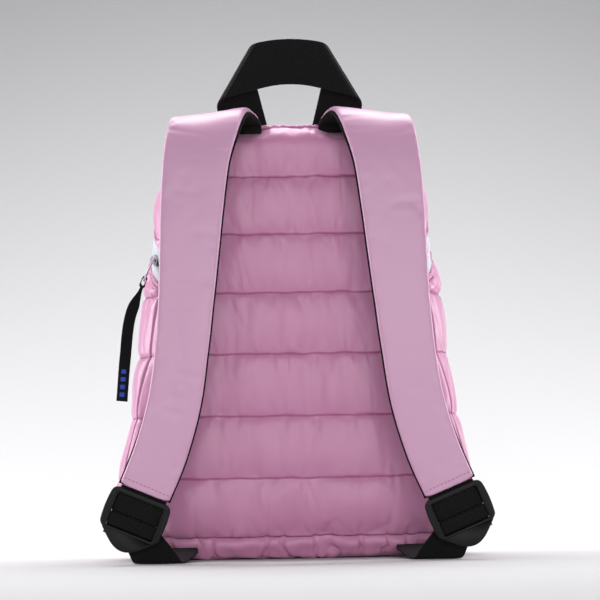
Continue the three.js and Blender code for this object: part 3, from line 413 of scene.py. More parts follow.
def band_heights(low, high, cuts, cell):
    """Rows of heights between two edges, and which of the rows are seams."""
    marks = [low]
    for index, cut in enumerate(cuts):
        lowest = marks[index] + SMALLEST_BAND
        highest = high - SMALLEST_BAND * (len(cuts) - index)
        marks.append(np.clip(cut, lowest, highest))
    marks.append(high)
    rows, seams, shares = [], [], []
    for below, above in zip(marks, marks[1:]):
        count = max(4, round(float(np.mean(above - below)) / cell))
        for step in range(count):
            rows.append(mix(below, above, step / count))
            seams.append(step == 0)
            shares.append(step / count)
    rows.append(high)
    return np.array(rows), np.array(seams + [True]), np.array(shares + [0])


def base_pinches(points):
    """Where the cloth is pinched along the base seam, from 0 to 1."""
    thin = rounding(points * (1, 1, 0), 1.0, 0.055, 21)
    return np.clip(1 - np.abs(thin) / 0.13, 0, 1)


def quilted_panel(name, first, last, width, low, high, cuts, puff, folds,
                  cell=CLOTH_CELL, seed=1, zip_edges=(), top_puff=0.0):
    """One quilted panel over a run of the skin, from first to last around it: a fine sheet that
    dips into its seams. It lies flatter along the edges that meet the zip, and its top channel
    may be fuller."""
    columns = np.linspace(first, last, max(8, round(width / cell)))
    run = (columns - first) / (last - first)
    from_end = np.minimum(run, 1 - run) * width
    low_edge = skin(columns, low(columns))
    wandering = [cut + rounding(low_edge + (0, 0, 40 * index), SEAM_WANDER, 0.05, seed + 15)
                 * np.minimum(1, from_end / CORNER_REACH) for index, cut in enumerate(cuts)]
    heights, seams, shares = band_heights(low(columns), high(columns), wandering, cell)
    end_fade = mix(CORNER_PUFF, 1, np.minimum(1, from_end / CORNER_REACH))
    channel = np.cumsum(np.asarray(seams, float)) - 1
    is_top = (channel == len(cuts)) & (top_puff > 0)
    skewed = np.where(is_top, shares ** 1.5, shares)
    puffed = np.sin(np.pi * skewed)[:, None] ** 0.55 * end_fade[None, :]
    for edge in zip_edges:
        to_zip = np.abs(heights - heights[edge])
        puffed = puffed * mix(ZIP_PUFF, 1, ease(to_zip, 0, ZIP_REACH))
    fullness = np.where(is_top, top_puff, puff)[:, None]
    # The base seam lies almost flush, and the strap roots press the top channel in
    dip = mix(BASE_SEAM_DIP, SEAM_DIP, ease(heights, 19, 50))
    if top_puff:
        across = skin(columns[None, :], heights)[..., 0]
        pressed = np.exp(-((np.abs(across) - ROOT_MIDDLE) / ROOT_REACH) ** 4)
        fullness = fullness * (1 - 0.9 * (pressed * ease(heights, 347, 359)))
    inset = dip - (fullness + dip) * puffed
    points = skin(columns[None, :], heights, inset)
    inner = skin(columns[None, :], heights, TUCK)
    seam_rows = heights[seams]
    from_seam = np.abs(heights[:, None, :] - seam_rows[None, :, :]).min(axis=1)
    # Short puckers cross the seams, long soft folds and a few creases run up the channels
    end_free = np.minimum(1, from_end / END_REACH)[None, :]
    free = (1 - np.exp(-from_seam / FREE_REACH)) * end_free
    near = np.exp(-from_seam / PUCKER_REACH)
    low_down = 1 + 1.3 * (1 - ease(heights, 35, 85))
    puckers = rounding(points * (1, 1, 0.28), 1.0, 0.17, seed + 2)
    broad = rounding(points * (1, 1, 0.3), 1.0, 0.05, seed + 5)
    slanting = points @ np.array([[1, 0, 0.25], [0, 1, 0.25], [0.15, 0, 0.24]])
    thin = rounding(slanting, 1.0, 0.06, seed + 8)
    creases = np.clip(1 - np.abs(thin) / 0.10, 0, 1) ** 1.3
    lift = (near * PUCKER_DEPTH * puckers * (0.55 + 0.45 * folds)
            + folds * low_down * (FOLD_DEPTH * broad)
            - folds * low_down * creases * (0.25 + near))
    above_base = np.maximum(0, heights - BASE_SEAM_HEIGHT)
    pinched = base_pinches(points) * np.exp(-above_base / PINCH_RISE)
    lift = lift * free - PINCH_DEPTH * pinched * end_free
    points += unit(points - inner) * lift[..., None]
    held = np.zeros(points.shape[:2], bool)
    held[seams] = True
    held[:, [0, -1]] = True
    seam_lines.extend((points[row], unit(points[row] - inner[row]))
                      for row in np.flatnonzero(seams)[1:-1])
    sharp_rows = np.flatnonzero(seams) + 1
    # The edges are turned in by a seam's depth, so that no gap shows between two panels
    points = np.concatenate([inner[:1], points, inner[-1:]], axis=0)
    inner = np.concatenate([inner[:1], inner, inner[-1:]], axis=0)
    points = np.concatenate([inner[:, :1], points, inner[:, -1:]], axis=1)
    held = np.pad(held, 1, constant_values=True)
    # The quilting seams get a painted shade of deeper pink, and the base seam none
    from_seam = np.abs(heights[:, None, :] - seam_rows[None, 1:, :]).min(axis=1)
    from_seam = np.pad(from_seam, 1, mode="edge")
    panel = surface(name, points, outward=from_body, sharp_rows=sharp_rows, from_seam=from_seam)
    group = panel.vertex_groups.new(name="sewn")
    group.add([int(index) for index in np.flatnonzero(held)], 1.0, "REPLACE")
    return panel


def settle(panels, spare):
    """Blows the panels up between their pinned seams, all in one run, and keeps the result. Each
    has its own share of spare cloth."""
    scene = bpy.context.scene
    for panel, extra in zip(panels, spare):
        cloth = panel.modifiers.new("settle", "CLOTH")
        cloth.settings.quality = 4
        cloth.settings.mass = 0.2
        cloth.settings.tension_stiffness = 20
        cloth.settings.compression_stiffness = 12
        cloth.settings.shear_stiffness = 6
        cloth.settings.bending_stiffness = 0.05
        cloth.settings.tension_damping = 8
        cloth.settings.compression_damping = 8
        cloth.settings.air_damping = 4
        cloth.settings.shrink_min = -extra
        cloth.settings.vertex_group_mass = "sewn"
        cloth.settings.use_pressure = True
        cloth.settings.uniform_pressure_force = 5
        cloth.settings.effector_weights.gravity = 0
        cloth.collision_settings.use_collision = False
        cloth.point_cache.frame_start = 1
        cloth.point_cache.frame_end = SETTLE_FRAMES
    for step in range(1, SETTLE_FRAMES + 1):
        scene.frame_set(step)
    depsgraph = bpy.context.evaluated_depsgraph_get()
    for panel in panels:
        start = np.empty(len(panel.data.vertices) * 3)
        panel.data.vertices.foreach_get("co", start)
        end = np.empty_like(start)
        panel.evaluated_get(depsgraph).data.vertices.foreach_get("co", end)
        start, end = start.reshape(-1, 3), end.reshape(-1, 3)
        move = end - start
        length = np.linalg.norm(move, axis=1, keepdims=True)
        most = LARGEST_MOVE * MM
        move *= np.tanh(length / most) * most / np.maximum(length, 1e-9)
        kept = (start + move).ravel()
        panel.modifiers.clear()
        panel.data.vertices.foreach_set("co", kept)
        panel.data.update()
    scene.frame_set(1)


def below_zip(around):
    return zip_edge(around, -ZIP_WIDTH / 2 - SEAM_GAP)


def above_zip(around):
    return zip_edge(around, ZIP_WIDTH / 2 + SEAM_GAP)


def level(height):
    return lambda around: np.full_like(around, height)


def add_stitches(bm, line, outs):
    """A run of thread stitches along a line that lies on the cloth."""
    length = run_along(line)

    def at(run, values):
        return np.array([np.interp(run, length, values[:, axis]) for axis in range(3)])
    for run in np.arange(STITCH_PITCH, length[-1] - STITCH_PITCH / 2, STITCH_PITCH):
        along = unit(at(run + 0.5, line) - at(run - 0.5, line))
        out = square_to(at(run, outs), along)
        turn = in_metres(along * STITCH_LENGTH / 2, np.cross(out, along) * THREAD_RADIUS,
                         out * THREAD_RADIUS, at(run, line) + out * STITCH_LIFT)
        bmesh.ops.create_uvsphere(bm, u_segments=5, v_segments=4, radius=1, matrix=turn)


def make_stitches(name, lines):
    bm = bmesh.new()
    for line, outs in lines:
        add_stitches(bm, line, outs)
    dress(finished(name, bm), pink_thread)


def make_top_seam():
    """The top seam's rolled, puckered edge between the two strap roots."""
    xs = np.linspace(-TOP_ROLL_HALF, TOP_ROLL_HALF, 240)
    turn = np.linspace(0, 2 * np.pi, 12, endpoint=False)
    seam_y = skin(0, BODY_HEIGHT)[1]
    radius = mix(*TOP_ROLL_RADIUS, 1 - ease(np.abs(xs), 20, 34))
    bumps = np.array([noise.noise(Vector((x * 0.28, 3.1, 0))) for x in xs])
    rings = []
    for x, wide, bump in zip(xs, radius, bumps):
        size = wide * (1 + 0.35 * bump)
        rings.append(np.stack([np.full(12, x), seam_y - 1.2 + 1.9 * size * np.cos(turn),
                               BODY_HEIGHT + 0.3 + 0.5 * bump + size * np.sin(turn)], axis=-1))
    roll = surface("top_seam_roll", np.array(rings), wrapped=True, capped=True)
    dress(roll, pink_satin)


def make_body():
    low = level(BASE_SEAM_HEIGHT + SLACK_GAP)
    top = level(BODY_HEIGHT)
    gap = 0.0005
    body_cuts = SEAM_HEIGHTS[1:6]
    panels = [
        quilted_panel("quilted_back", -1 + gap, 1 - gap, 330, low, top, SEAM_HEIGHTS[1:-1],
                      puff=2.6, folds=0.8, seed=3, top_puff=BACK_TOP_PUFF),
        quilted_panel("quilted_side_right", 1 + gap, 2 - gap, 96, low, below_zip, body_cuts,
                      puff=2.6, folds=1.2, seed=7, zip_edges=(-1,)),
        quilted_panel("quilted_side_left", 5 - gap, 4 + gap, 96, low, below_zip, body_cuts,
                      puff=2.6, folds=1.2, seed=11, zip_edges=(-1,)),
        quilted_panel("quilted_front", 2 + gap, 4 - gap, 310, low, below_zip, body_cuts,
                      puff=3.4, folds=0.9, cell=COARSE_CELL, seed=13, zip_edges=(-1,)),
        quilted_panel("quilted_hood", 1 + gap, 5 - gap, 430, above_zip, top, SEAM_HEIGHTS[5:7],
                      puff=3.0, folds=1.0, cell=COARSE_CELL, seed=17, zip_edges=(0,)),
    ]
    make_stitches("quilting_stitches", seam_lines)
    make_top_seam()
    settle(panels, spare=(0.05, 0.07, 0.07, 0.06, 0.06))
    nodes = ["back_panel", "side_panel_right", "side_panel_left", "front_panel", "top_panel"]
    for panel, node in zip(panels, nodes):
        subdivide(panel)
        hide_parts(node)
        dress(panel, quilted_satin)


def base_point(around, inset, keep, height):
    rim = BASE_SEAM_HEIGHT - SEAM_GAP / 2
    up = rim / BODY_HEIGHT
    spine = (section_front(up) * FRONT_DEPTH - section_back(up) * BACK_DEPTH) / 2
    point = skin(around, rim, inset)
    return np.stack([point[..., 0] * keep, spine + (point[..., 1] - spine) * keep,
                     np.broadcast_to(height, point.shape[:-1])], axis=-1)


def make_base():
    """The base: a shallow padded tray with its bottom flat on the floor."""
    rim = BASE_SEAM_HEIGHT - SLACK_GAP
    ways = np.concatenate([np.linspace(-1, 1, 190, endpoint=False), np.linspace(1, 5, 300)[:-1]])
    levels = [
        (TUCK, 1.0, rim), (0.25, 1.0, rim), (-0.5, 1.0, rim - 0.9), (-1.3, 1.0, rim - 2.6),
        (-1.9, 1.0, rim * 0.74), (-1.8, 0.996, rim * 0.60), (-1.0, 0.990, rim * 0.46),
        (0, 0.978, rim * 0.30), (0, 0.958, rim * 0.14), (0, 0.935, rim * 0.035), (0, 0.915, 0.0),
        (0, 0.86, 0.0), (0, 0.5, 0.0), (0, 0.12, 0.0),
    ]
    rings = np.array([base_point(ways, inset, keep, height) for inset, keep, height in levels])
    wrinkle = rounding(rings * (1, 1, 0.3), 2.6, 0.08, 5)
    pinch_depth = np.array([PINCH_DEPTH, PINCH_DEPTH, 2.3, 2.6, 3, 3, 3, 2.6, 2, 0.8, 0, 0, 0, 0])
    fade = np.array([0, 0, 0.3, 0.8, 1, 1, 1, 0.9, 0.7, 0.3, 0, 0, 0, 0])
    # The bottom edge lifts off the floor in soft scallops
    scallop = np.clip(rounding(rings * (1, 1, 0), 1.0, 0.035, 9) + 0.35, 0, 1) * 6
    scallop = scallop + 3.5 * base_pinches(rings)
    rings[..., 2] += scallop * np.array([0, 0, 0, 0, 0, 0, 0.2, 0.6, 1, 1, 1, 0.5, 0, 0])[:, None]
    outward = unit(skin(ways, rim) - skin(ways, rim, TUCK))
    move = wrinkle * fade[:, None] - base_pinches(rings) * pinch_depth[:, None]
    rings = rings + outward * move[..., None]
    base = surface("padded_base", rings, wrapped=True, outward=from_body)
    bm = bmesh.new()
    bm.from_mesh(base.data)
    low = [edge for edge in bm.edges if edge.is_boundary
           and max(vertex.co.z for vertex in edge.verts) < 1 * MM]
    bmesh.ops.holes_fill(bm, edges=low, sides=0)
    bm.to_mesh(base.data)
    bm.free()
    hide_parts("base_panel")
    dress(base, pink_satin)


def zip_band(name, low_offset, high_offset, outer, inner):
    """A strip along the zip, closed all round, between two offsets and two depths."""
    ways = np.linspace(ZIP_END_WAY, 6 - ZIP_END_WAY, 360)
    rim = 0.25 * (inner - outer)
    section = [(0, outer + rim), (0.03, outer), (0.35, outer), (0.65, outer), (0.97, outer),
               (1, outer + rim), (1, inner - rim), (0.5, inner), (0, inner - rim)]
    rings = np.stack([skin(ways, zip_edge(ways, mix(low_offset, high_offset, share)), inset)
                      for share, inset in section], 1)
    return surface(name, rings, wrapped=True, capped=True)


def make_zip():
    inner = COIL_WIDTH / 2 + SEAM_GAP - 0.6
    outer = ZIP_WIDTH / 2 + 3
    top, under = TAPE_DEPTH, TAPE_DEPTH + TAPE_THICKNESS
    lower = zip_band("zip_tape_below", -outer, -inner, top, under)
    upper = zip_band("zip_tape_above", inner, outer, top, under)
    for tape, node in ((lower, "zip_tape_lower"), (upper, "zip_tape_upper")):
        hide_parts(node)
        dress(tape, white_tape)
    teeth = make_teeth()
    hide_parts("zip_coil")
    dress(teeth, white_coil)


def make_teeth():
    """The closed coils: small loops in turn from one side and the other, up to the slider."""
    side_span = np.linalg.norm(skin(1.0, BODY_HEIGHT / 2) - skin(2.0, BODY_HEIGHT / 2))
    end = 6 - SLIDER_WAY - slider_run() - 4 * SEAM_GAP / side_span
    ways = np.linspace(1.01, end, 1200)
    line = skin(ways, zip_line(ways), TAPE_DEPTH)
    length = run_along(line)
    count = int(length[-1] / COIL_PITCH * 2)
    bm = bmesh.new()
    for tooth in range(count):
        way = float(np.interp(tooth * COIL_PITCH / 2, length, ways))
        here, ahead = (skin(way + step, zip_line(way + step), TAPE_DEPTH) for step in (0, 0.004))
        deeper = skin(way, zip_line(way), TAPE_DEPTH + 1)
        along = unit(ahead - here)
        out = square_to(unit(here - deeper), along)
        across = np.cross(out, along)
        side = 1 if tooth % 2 else -1
        centre = here + across * side * TOOTH_OFFSET + out * TOOTH_LIFT
        turn = in_metres(across * TOOTH_HALF_LENGTH, along * TOOTH_HALF_WIDTH,
                         out * TOOTH_HALF_HEIGHT, centre)
        bmesh.ops.create_uvsphere(bm, u_segments=6, v_segments=4, radius=1, matrix=turn)
    return finished("zip_teeth", bm)


def slider_run():
    """Half the slider's length, by the way round."""
    ends = np.array([SLIDER_WAY, SLIDER_WAY + 0.1])
    start, end = skin(ends, zip_line(ends))
    return SLIDER_LENGTH / 2 / (np.linalg.norm(end - start) / 0.1)


def slider_place():
    """The slider's middle, and its own ways: up along the zip, across it and out of the skin."""
    def at(way, rise=0.0):
        return skin(-way, zip_line(way) + rise, TAPE_DEPTH + TAPE_THICKNESS / 2)
    ends = at(SLIDER_WAY - slider_run()), at(SLIDER_WAY + slider_run())
    along = unit(ends[1] - ends[0])
    out = unit(np.cross(along, at(SLIDER_WAY, 1) - at(SLIDER_WAY, -1)))
    out = out if out[0] < 0 else -out
    askew = Matrix.Rotation(-SLIDER_TILT, 3, Vector(out))
    along = np.array(askew @ Vector(along))
    return (ends[0] + ends[1]) / 2, along, np.cross(out, along), out


def ribbon_frames(curve, shares, facing):
    """Frames along a curve, each with its place, its way across and its way out."""
    frames = []
    for share in shares:
        way = unit(curve(share + 1e-3) - curve(share - 1e-3))
        across = square_to(facing(share), way)
        frames.append((curve(share), across, unit(np.cross(across, way))))
    return frames


def move_into(bm, piece):
    """Puts a piece's mesh into a bmesh and removes the piece."""
    bm.from_mesh(piece.data)
    bpy.data.objects.remove(piece)


def make_pull_tab():
    """The ribbon: looped through the puller's lower eye, pinched, then hanging in a soft bend."""
    middle, along, bar_way, out = slider_place()
    crossbar = (TAPE_THICKNESS / 2 + SLIDER_CLEARANCE + SLIDER_PLATE + PULLER_THICKNESS / 2 + FIT)
    plate_along = along * math.cos(PULLER_LIFT) - out * math.sin(PULLER_LIFT)
    plate_out = along * math.sin(PULLER_LIFT) + out * math.cos(PULLER_LIFT)
    eye_bar = (middle + out * crossbar
               + plate_along * (PULLER_THICKNESS / 2 - PULLER_LENGTH + PULLER_END_BAR / 2))
    hang = unit(np.array([-0.36, 0.02, -1]))
    neck = eye_bar + hang * TAB_LOOP
    spread = PULLER_THICKNESS / 2 + TAB_CORD / 2 + FIT
    over = PULLER_END_BAR / 2 + TAB_CORD / 2 + FIT

    def place(way_out, way_along, down):
        return eye_bar + plate_out * way_out + plate_along * way_along + hang * down
    loop = [neck + hang * TAB_LOOP * 0.5, neck + plate_out * spread * 0.3,
            place(spread, -over, TAB_LOOP * 0.45), place(spread, 0, 0),
            place(spread * 0.7, over * 0.8, 0), place(0, over * 1.05, 0),
            place(-spread * 0.7, over * 0.8, 0), place(-spread, 0, 0),
            place(-spread, -over, TAB_LOOP * 0.45), neck - plate_out * spread * 0.3,
            neck + hang * TAB_LOOP * 0.5]
    shares = np.linspace(0, 1, 61)
    frames = ribbon_frames(catmull_rom(loop), shares, lambda share: bar_way)
    pinch = ease(np.abs(shares - 0.5), 0.25, 0.5)
    looped = band("ribbon_loop", frames, TAB_CORD * (1.5 + 0.4 * pinch), TAB_CORD * 0.5)
    hanging = catmull_rom([neck + np.array(step) * TAB_LENGTH for step in TAB_ROUTE])
    shares = np.linspace(0, 1, 80)
    frames = ribbon_frames(hanging, shares,
                           lambda share: np.array([1, TAB_TWIST * math.sin(5 * share), 0]))
    wide = ease(shares, 0, 0.24)
    hung = band("pull_ribbon", frames, mix(TAB_CORD * 1.9, TAB_WIDTH, wide),
                mix(TAB_CORD * 1.6, TAB_THICKNESS, wide))
    bm = bmesh.new()
    for part in (looped, hung):
        move_into(bm, part)
    ribbon = finished("pull_ribbon_folded", bm)
    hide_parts("pull_tab")
    dress(ribbon, black_ribbon, body="puller")


def catmull_rom(points):
    """A centripetal curve through the points, by a share of them from 0 to 1."""
    points = np.asarray(points, float)
    padded = np.concatenate([[2 * points[0] - points[1]], points, [2 * points[-1] - points[-2]]])

    def at(share):
        place = np.clip(share, 0, 1) * (len(points) - 1)
        start = min(int(place), len(points) - 2)
        t = place - start
        p0, p1, p2, p3 = padded[start:start + 4]
        d0, d1, d2 = (max(np.linalg.norm(b - a) ** 0.5, 1e-4)
                      for a, b in ((p0, p1), (p1, p2), (p2, p3)))
        m1 = d1 * ((p1 - p0) / d0 - (p2 - p0) / (d0 + d1) + (p2 - p1) / d1)
        m2 = d1 * ((p2 - p1) / d1 - (p3 - p1) / (d1 + d2) + (p3 - p2) / d2)
        return (p1 + m1 * t + (-3 * p1 + 3 * p2 - 2 * m1 - m2) * t ** 2
                + (2 * p1 - 2 * p2 + m1 + m2) * t ** 3)
    return at


def strap_frames():
    """Frames along the right strap: place, across, along, out, width, thickness and share."""
    up, out, stand, wide, thick, lean = STRAP_ROUTE.T
    places = np.stack([out * BODY_HALF_WIDTH, -BACK_DEPTH - stand * STRAP_STAND,
                       up * BODY_HEIGHT], axis=1)
    curve = catmull_rom(places)
    count = (len(places) - 1) * STRAP_STEPS
    rows = np.arange(len(places))
    frames = []
    for step in range(count + 1):
        share = step / count
        row = step / STRAP_STEPS
        along = unit(curve(share + 1e-4) - curve(share - 1e-4))
        tilt = math.radians(np.interp(row, rows, lean))
        across = np.array([math.cos(tilt), 0, -math.sin(tilt)])
        squared = ease(row, 0, SQUARE_ROW)
        across = unit(across - along * across.dot(along) * squared)
        frames.append((curve(share), across, along, unit(np.cross(along, across)),
                       np.interp(row, rows, wide) * STRAP_WIDTH,
                       np.interp(row, rows, thick) * STRAP_THICKNESS, share))
    return frames


# Half outline of the strap's face: share of the half width and of the thickness
STRAP_OUTLINE = [(0.90, 0.0), (0.965, 0.02), (0.995, 0.16), (1.0, 0.38), (0.992, 0.62),
                 (0.968, 0.80), (0.93, 0.90), (0.88, 0.945), (0.78, 0.975), (0.64, 0.99),
                 (0.48, 1.0), (0.32, 1.0), (0.16, 1.0), (0.0, 1.0)]


def strap_ring(frame, places, side):
    at, across, _, out = frame[:4]
    ring = at + np.outer(places[:, 0], across) + np.outer(places[:, 1], out)
    return ring * (side, 1, 1)


def sewn_root(ring, lift):
    """The strap's first ring, moved down onto the back panel under the top seam."""
    height = BODY_HEIGHT - ROOT_DROP
    middle = ring.mean(axis=0)
    half = skin(1.0, height)[0]
    backing = skin(ring[:, 0] / half, np.full(len(ring), height))
    moved = ring.copy()
    moved[:, 2] = height + (ring[:, 2] - middle[2]) * 0.4
    moved[:, 1] = backing[:, 1] - lift + (ring[:, 1] - middle[1]) * 0.4
    return moved


def make_strap_face(frames, side, word, seed):
    """The strap's padded face, with its creases and the line for its end's stitches."""
    outline = np.array(STRAP_OUTLINE)
    mirrored = outline[::-1][1:] * (-1, 1)
    outline = np.concatenate([outline, mirrored])
    rings = np.array([strap_ring(frame, outline * (frame[4] / 2, frame[5]) + (0, FIT), side)
                      for frame in frames])
    rings[0] = sewn_root(rings[0], 1.2)
    outs = np.array([frame[3] for frame in frames]) * (side, 1, 1)
    share = np.array([frame[6] for frame in frames])
    # Soft creases: small ones where the strap is gathered at its root, faint ones along it
    gathered = (1 - ease(share, 0.02, 0.16))[:, None]
    edge = np.abs(outline[:, 0]) ** 3
    top = outline[:, 1] > 0.5
    soft = rounding(rings * (1.0, 0.5, 0.35), 1.0, 0.035, seed)
    fine = rounding(rings * (1.0, 1.0, 0.6), 1.0, 0.13, seed + 4)
    level_thin = rounding(rings * (0.3, 0.3, 1.0) + (0, 0, side * 40), 1.0, 0.075, seed + 9)
    level_lines = np.clip(1 - np.abs(level_thin) / 0.09, 0, 1) ** 1.5
    patch = np.clip(rounding(rings, 1.0, 0.012, seed + 12) + 0.45, 0, 1)
    edge_gathers = rounding(rings * (0.25, 0.25, 1.0), 0.9, 0.22, seed + 16)
    lift = (soft * 0.8 + fine * (0.3 * edge[None, :] + 1.2 * gathered)
            - level_lines * patch * 1.3 * (1 - gathered)
            + edge_gathers * edge[None, :] * (1 - gathered))
    rings = rings + outs[:, None, :] * (lift * top[None, :])[..., None]
    # A stitched line runs across just above the end
    row = int(np.argmin([abs(np.linalg.norm(frame[0] - frames[-1][0]) - END_SEAM_RISE)
                         for frame in frames]))
    across = rings[row][top]
    strap_seams.append((across, np.broadcast_to(outs[row], across.shape)))
    face = surface(f"strap_face_{word}_padded", rings, wrapped=True, capped=True)
    subdivide(face)
    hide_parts(f"strap_face_{word}")
    dress(face, strap_satin)


def make_strap_mesh(frames, side, word):
    """The mesh under the strap, a little wider than the face where its edge shows."""
    rings = []
    for frame in frames:
        half = frame[4] / 2
        low = ease(frame[6], 0.75, 0.95)
        left, right = -half - MESH_RIM, half - MESH_RIM * (1 - 2 * low)
        ring = [(right - 0.6, -FIT + 0.2), (right, -FIT - 0.3), (right, -FIT - 1.0),
                (right - 0.8, -FIT - MESH_THICKNESS)]
        ring += [(mix(right - 0.8, left + 0.8, step / 6), -FIT - MESH_THICKNESS)
                 for step in range(1, 6)]
        ring += [(left + 0.8, -FIT - MESH_THICKNESS), (left, -FIT - 1.0), (left, -FIT - 0.3),
                 (left + 0.6, -FIT + 0.2), (0, -FIT)]
        rings.append(strap_ring(frame, np.array(ring), side))
    rings[0] = sewn_root(rings[0], 3.2)
    under = surface(f"strap_under_{word}", np.array(rings), wrapped=True, capped=True)
    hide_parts(f"strap_mesh_{word}")
    dress(under, black_mesh)


# Webbing: a flat band with rounded edges, along frames of place, across and out
BAND_OUTLINE = [(1.0, 0.0), (0.996, 0.55), (0.975, 0.9), (0.90, 1.0), (0.6, 1.0), (0.3, 1.0),
                (0.0, 1.0)]


def band(name, frames, width, thickness):
    right = np.array(BAND_OUTLINE)
    top = np.concatenate([right, right[::-1][1:] * (-1, 1)])
    outline = np.concatenate([top, top[1:-1][::-1] * (1, -1)])
    widths = np.broadcast_to(width, len(frames))
    thick = np.broadcast_to(thickness, len(frames))
    rings = []
    for (at, across, out), wide, deep in zip(frames, widths, thick):
        places = outline * (wide / 2, deep / 2)
        rings.append(at + np.outer(places[:, 0], across) + np.outer(places[:, 1], out))
    rings = np.array(rings)
    columns = np.concatenate([outline[:, 0], outline[:1, 0]])
    uv = np.stack(np.meshgrid(columns, run_along(rings.mean(axis=1))), axis=-1)
    uv[..., 0] *= widths[:, None] / 2
    return surface(name, rings, uv=uv, wrapped=True, capped=True)


def eased_frames(corners, steps=10, straight=2.5):
    """Frames along straight runs with eased corners, each (place, across, ease)."""
    line = []

    def run_to(place, across):
        if not line:
            line.append((place, across))
            return
        start, first = line[-1]
        count = max(1, round(np.linalg.norm(place - start) / straight))
        for step in range(1, count + 1):
            line.append((mix(start, place, step / count), unit(mix(first, across, step / count))))
    run_to(corners[0][0], corners[0][1])
    for (before, _, _), (corner, across, reach), (after, _, _) in zip(
            corners, corners[1:], corners[2:]):
        start = corner + unit(before - corner) * reach
        end = corner + unit(after - corner) * reach
        run_to(start, across)
        for step in range(1, steps + 1):
            t = step / steps
            line.append(((1 - t) ** 2 * start + 2 * t * (1 - t) * corner + t * t * end, across))
    run_to(corners[-1][0], corners[-1][1])
    places = np.array([place for place, _ in line])
    along = unit(np.gradient(places, axis=0))
    return [(place, across, unit(np.cross(across, way)))
            for (place, across), way in zip(line, along)]


END_BAR = {"bottom": -1, "top": 2.4, "front": 3 - LOCK_FRONT + WEBBING_THICKNESS + 2 * FIT,
           "back": LOCK_BACK}
MIDDLE_BAR = {"bottom": -12.5, "top": -6.2, "front": -0.6, "back": 2.2}
LOW_BAR_TOP = 2.3 - LOCK_HEIGHT / 2
HALF_WEB = WEBBING_THICKNESS / 2
FRONT_RUN = END_BAR["front"] - FIT - HALF_WEB
LOCK_WIDTH = WEBBING_WIDTH + 2 * (FIT + 0.25) + 2 * LOCK_RAIL + 0.6


def webbing_in_lock():
    """The adjustable webbing's corners in the lock: towards the bag, up, and ease."""
    over = MIDDLE_BAR["front"] - FIT - HALF_WEB
    behind = LOCK_BACK + FIT + HALF_WEB
    main_run = behind + WEBBING_THICKNESS + 2 * FIT
    slot = END_BAR["bottom"] - FIT - WEBBING_THICKNESS - 0.15 - HALF_WEB
    low_slot = (MIDDLE_BAR["bottom"] + LOW_BAR_TOP) / 2
    return [(main_run, slot, 1.2), (over, slot, 1.2), (over, low_slot, 1), (behind, low_slot, 1),
            (behind, -LOCK_HEIGHT / 2 - 5, 0)]


def lock_place(end, side):
    """The lock's own frame: X across, Y towards the bag, Z up the strap."""
    flip = np.array([side, 1, 1])
    across = end[1] * flip * side
    up = -end[2] * flip
    inward = np.cross(up, across)
    drop = SEAM_GAP + WEBBING_SHOW + LOCK_HEIGHT / 2
    seat = STRAP_THICKNESS / 2 + FRONT_RUN - FIT
    at = end[0] * flip - up * drop - inward * seat
    return at, np.stack([across, inward, up])


def threaded(place, route):
    """A webbing's corners in the lock, each given by its way towards the bag, up, and its ease."""
    at, axes = place
    return [(at + np.array([0.0, inward, up]) @ axes, axes[0], reach)
            for inward, up, reach in route]


def make_webbings(place, side, word):
    back_run = END_BAR["back"] + FIT + HALF_WEB
    foot = END_BAR["bottom"] - FIT - HALF_WEB
    top = LOCK_HEIGHT / 2 + WEBBING_SHOW
    reach = WEBBING_THICKNESS * 0.85
    corners = threaded(place, [(FRONT_RUN, top, 0), (FRONT_RUN, foot, reach),
                               (back_run, foot, reach), (back_run, top, 0)])
    loop = band(f"strap_end_loop_{word}", eased_frames(corners), WEBBING_WIDTH + WEBBING_SPREAD,
                WEBBING_THICKNESS)
    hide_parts(f"strap_end_webbing_{word}")
    dress(loop, black_webbing)
    # From the base seam out to the fold near the floor, then up and through the lock
    lift = HALF_WEB + FIT
    level_way = np.array([1.0, 0, 0])
    sewn_height = (BASE_SEAM_HEIGHT - SEAM_GAP / 2) * (1 - SEWN_FALL)
    base_half = base_point(np.array(1.0), 0, SEWN_KEEP, sewn_height)[0]
    ends = LOWER_WEBBING_ROUTE[0][0] * BODY_HALF_WIDTH + WEBBING_WIDTH / 2 * np.array([-1, 0, 1])
    inner, sewn, outer = base_point(ends / base_half, 0, SEWN_KEEP, sewn_height)
    sewn_across = unit(np.array([outer[0] - inner[0], side * (outer[1] - inner[1]), 0]))
    corners = [(np.array([side * sewn[0], sewn[1] - FIT - 0.3, sewn_height]), sewn_across, 0)]
    for index, (out, stand) in enumerate(LOWER_WEBBING_ROUTE):
        height = mix(sewn_height, lift, (index + 1) / len(LOWER_WEBBING_ROUTE))
        corners.append((np.array([side * out * BODY_HALF_WIDTH,
                                  -BACK_DEPTH - stand * STRAP_STAND, height]),
                        level_way, FOLD_EASE))
    threading = threaded(place, webbing_in_lock())
    fold = np.array([side * FOLD_OUT * BODY_HALF_WIDTH, threading[0][0][1], lift])
    corners.append((fold, level_way, FOLD_EASE))
    strip = band(f"adjusting_strap_{word}", eased_frames(corners + threading),
                 WEBBING_WIDTH + WEBBING_SPREAD, WEBBING_THICKNESS)
    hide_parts(f"lower_webbing_{word}")
    dress(strip, black_webbing)


def rounded_box(bm, low, high, radius):
    """A box between two corners of the lock's frame, with rounded edges."""
    low, high = Vector(low), Vector(high)
    place = Matrix.Translation((low + high) / 2) @ Matrix.Diagonal((*(high - low), 1))
    made = bmesh.ops.create_cube(bm, size=1, matrix=place)
    edges = list(dict.fromkeys(edge for vertex in made["verts"] for edge in vertex.link_edges))
    bmesh.ops.bevel(bm, geom=edges, offset=radius, offset_type="OFFSET", affect="EDGES",
                    segments=3, profile=0.5, material=-1)


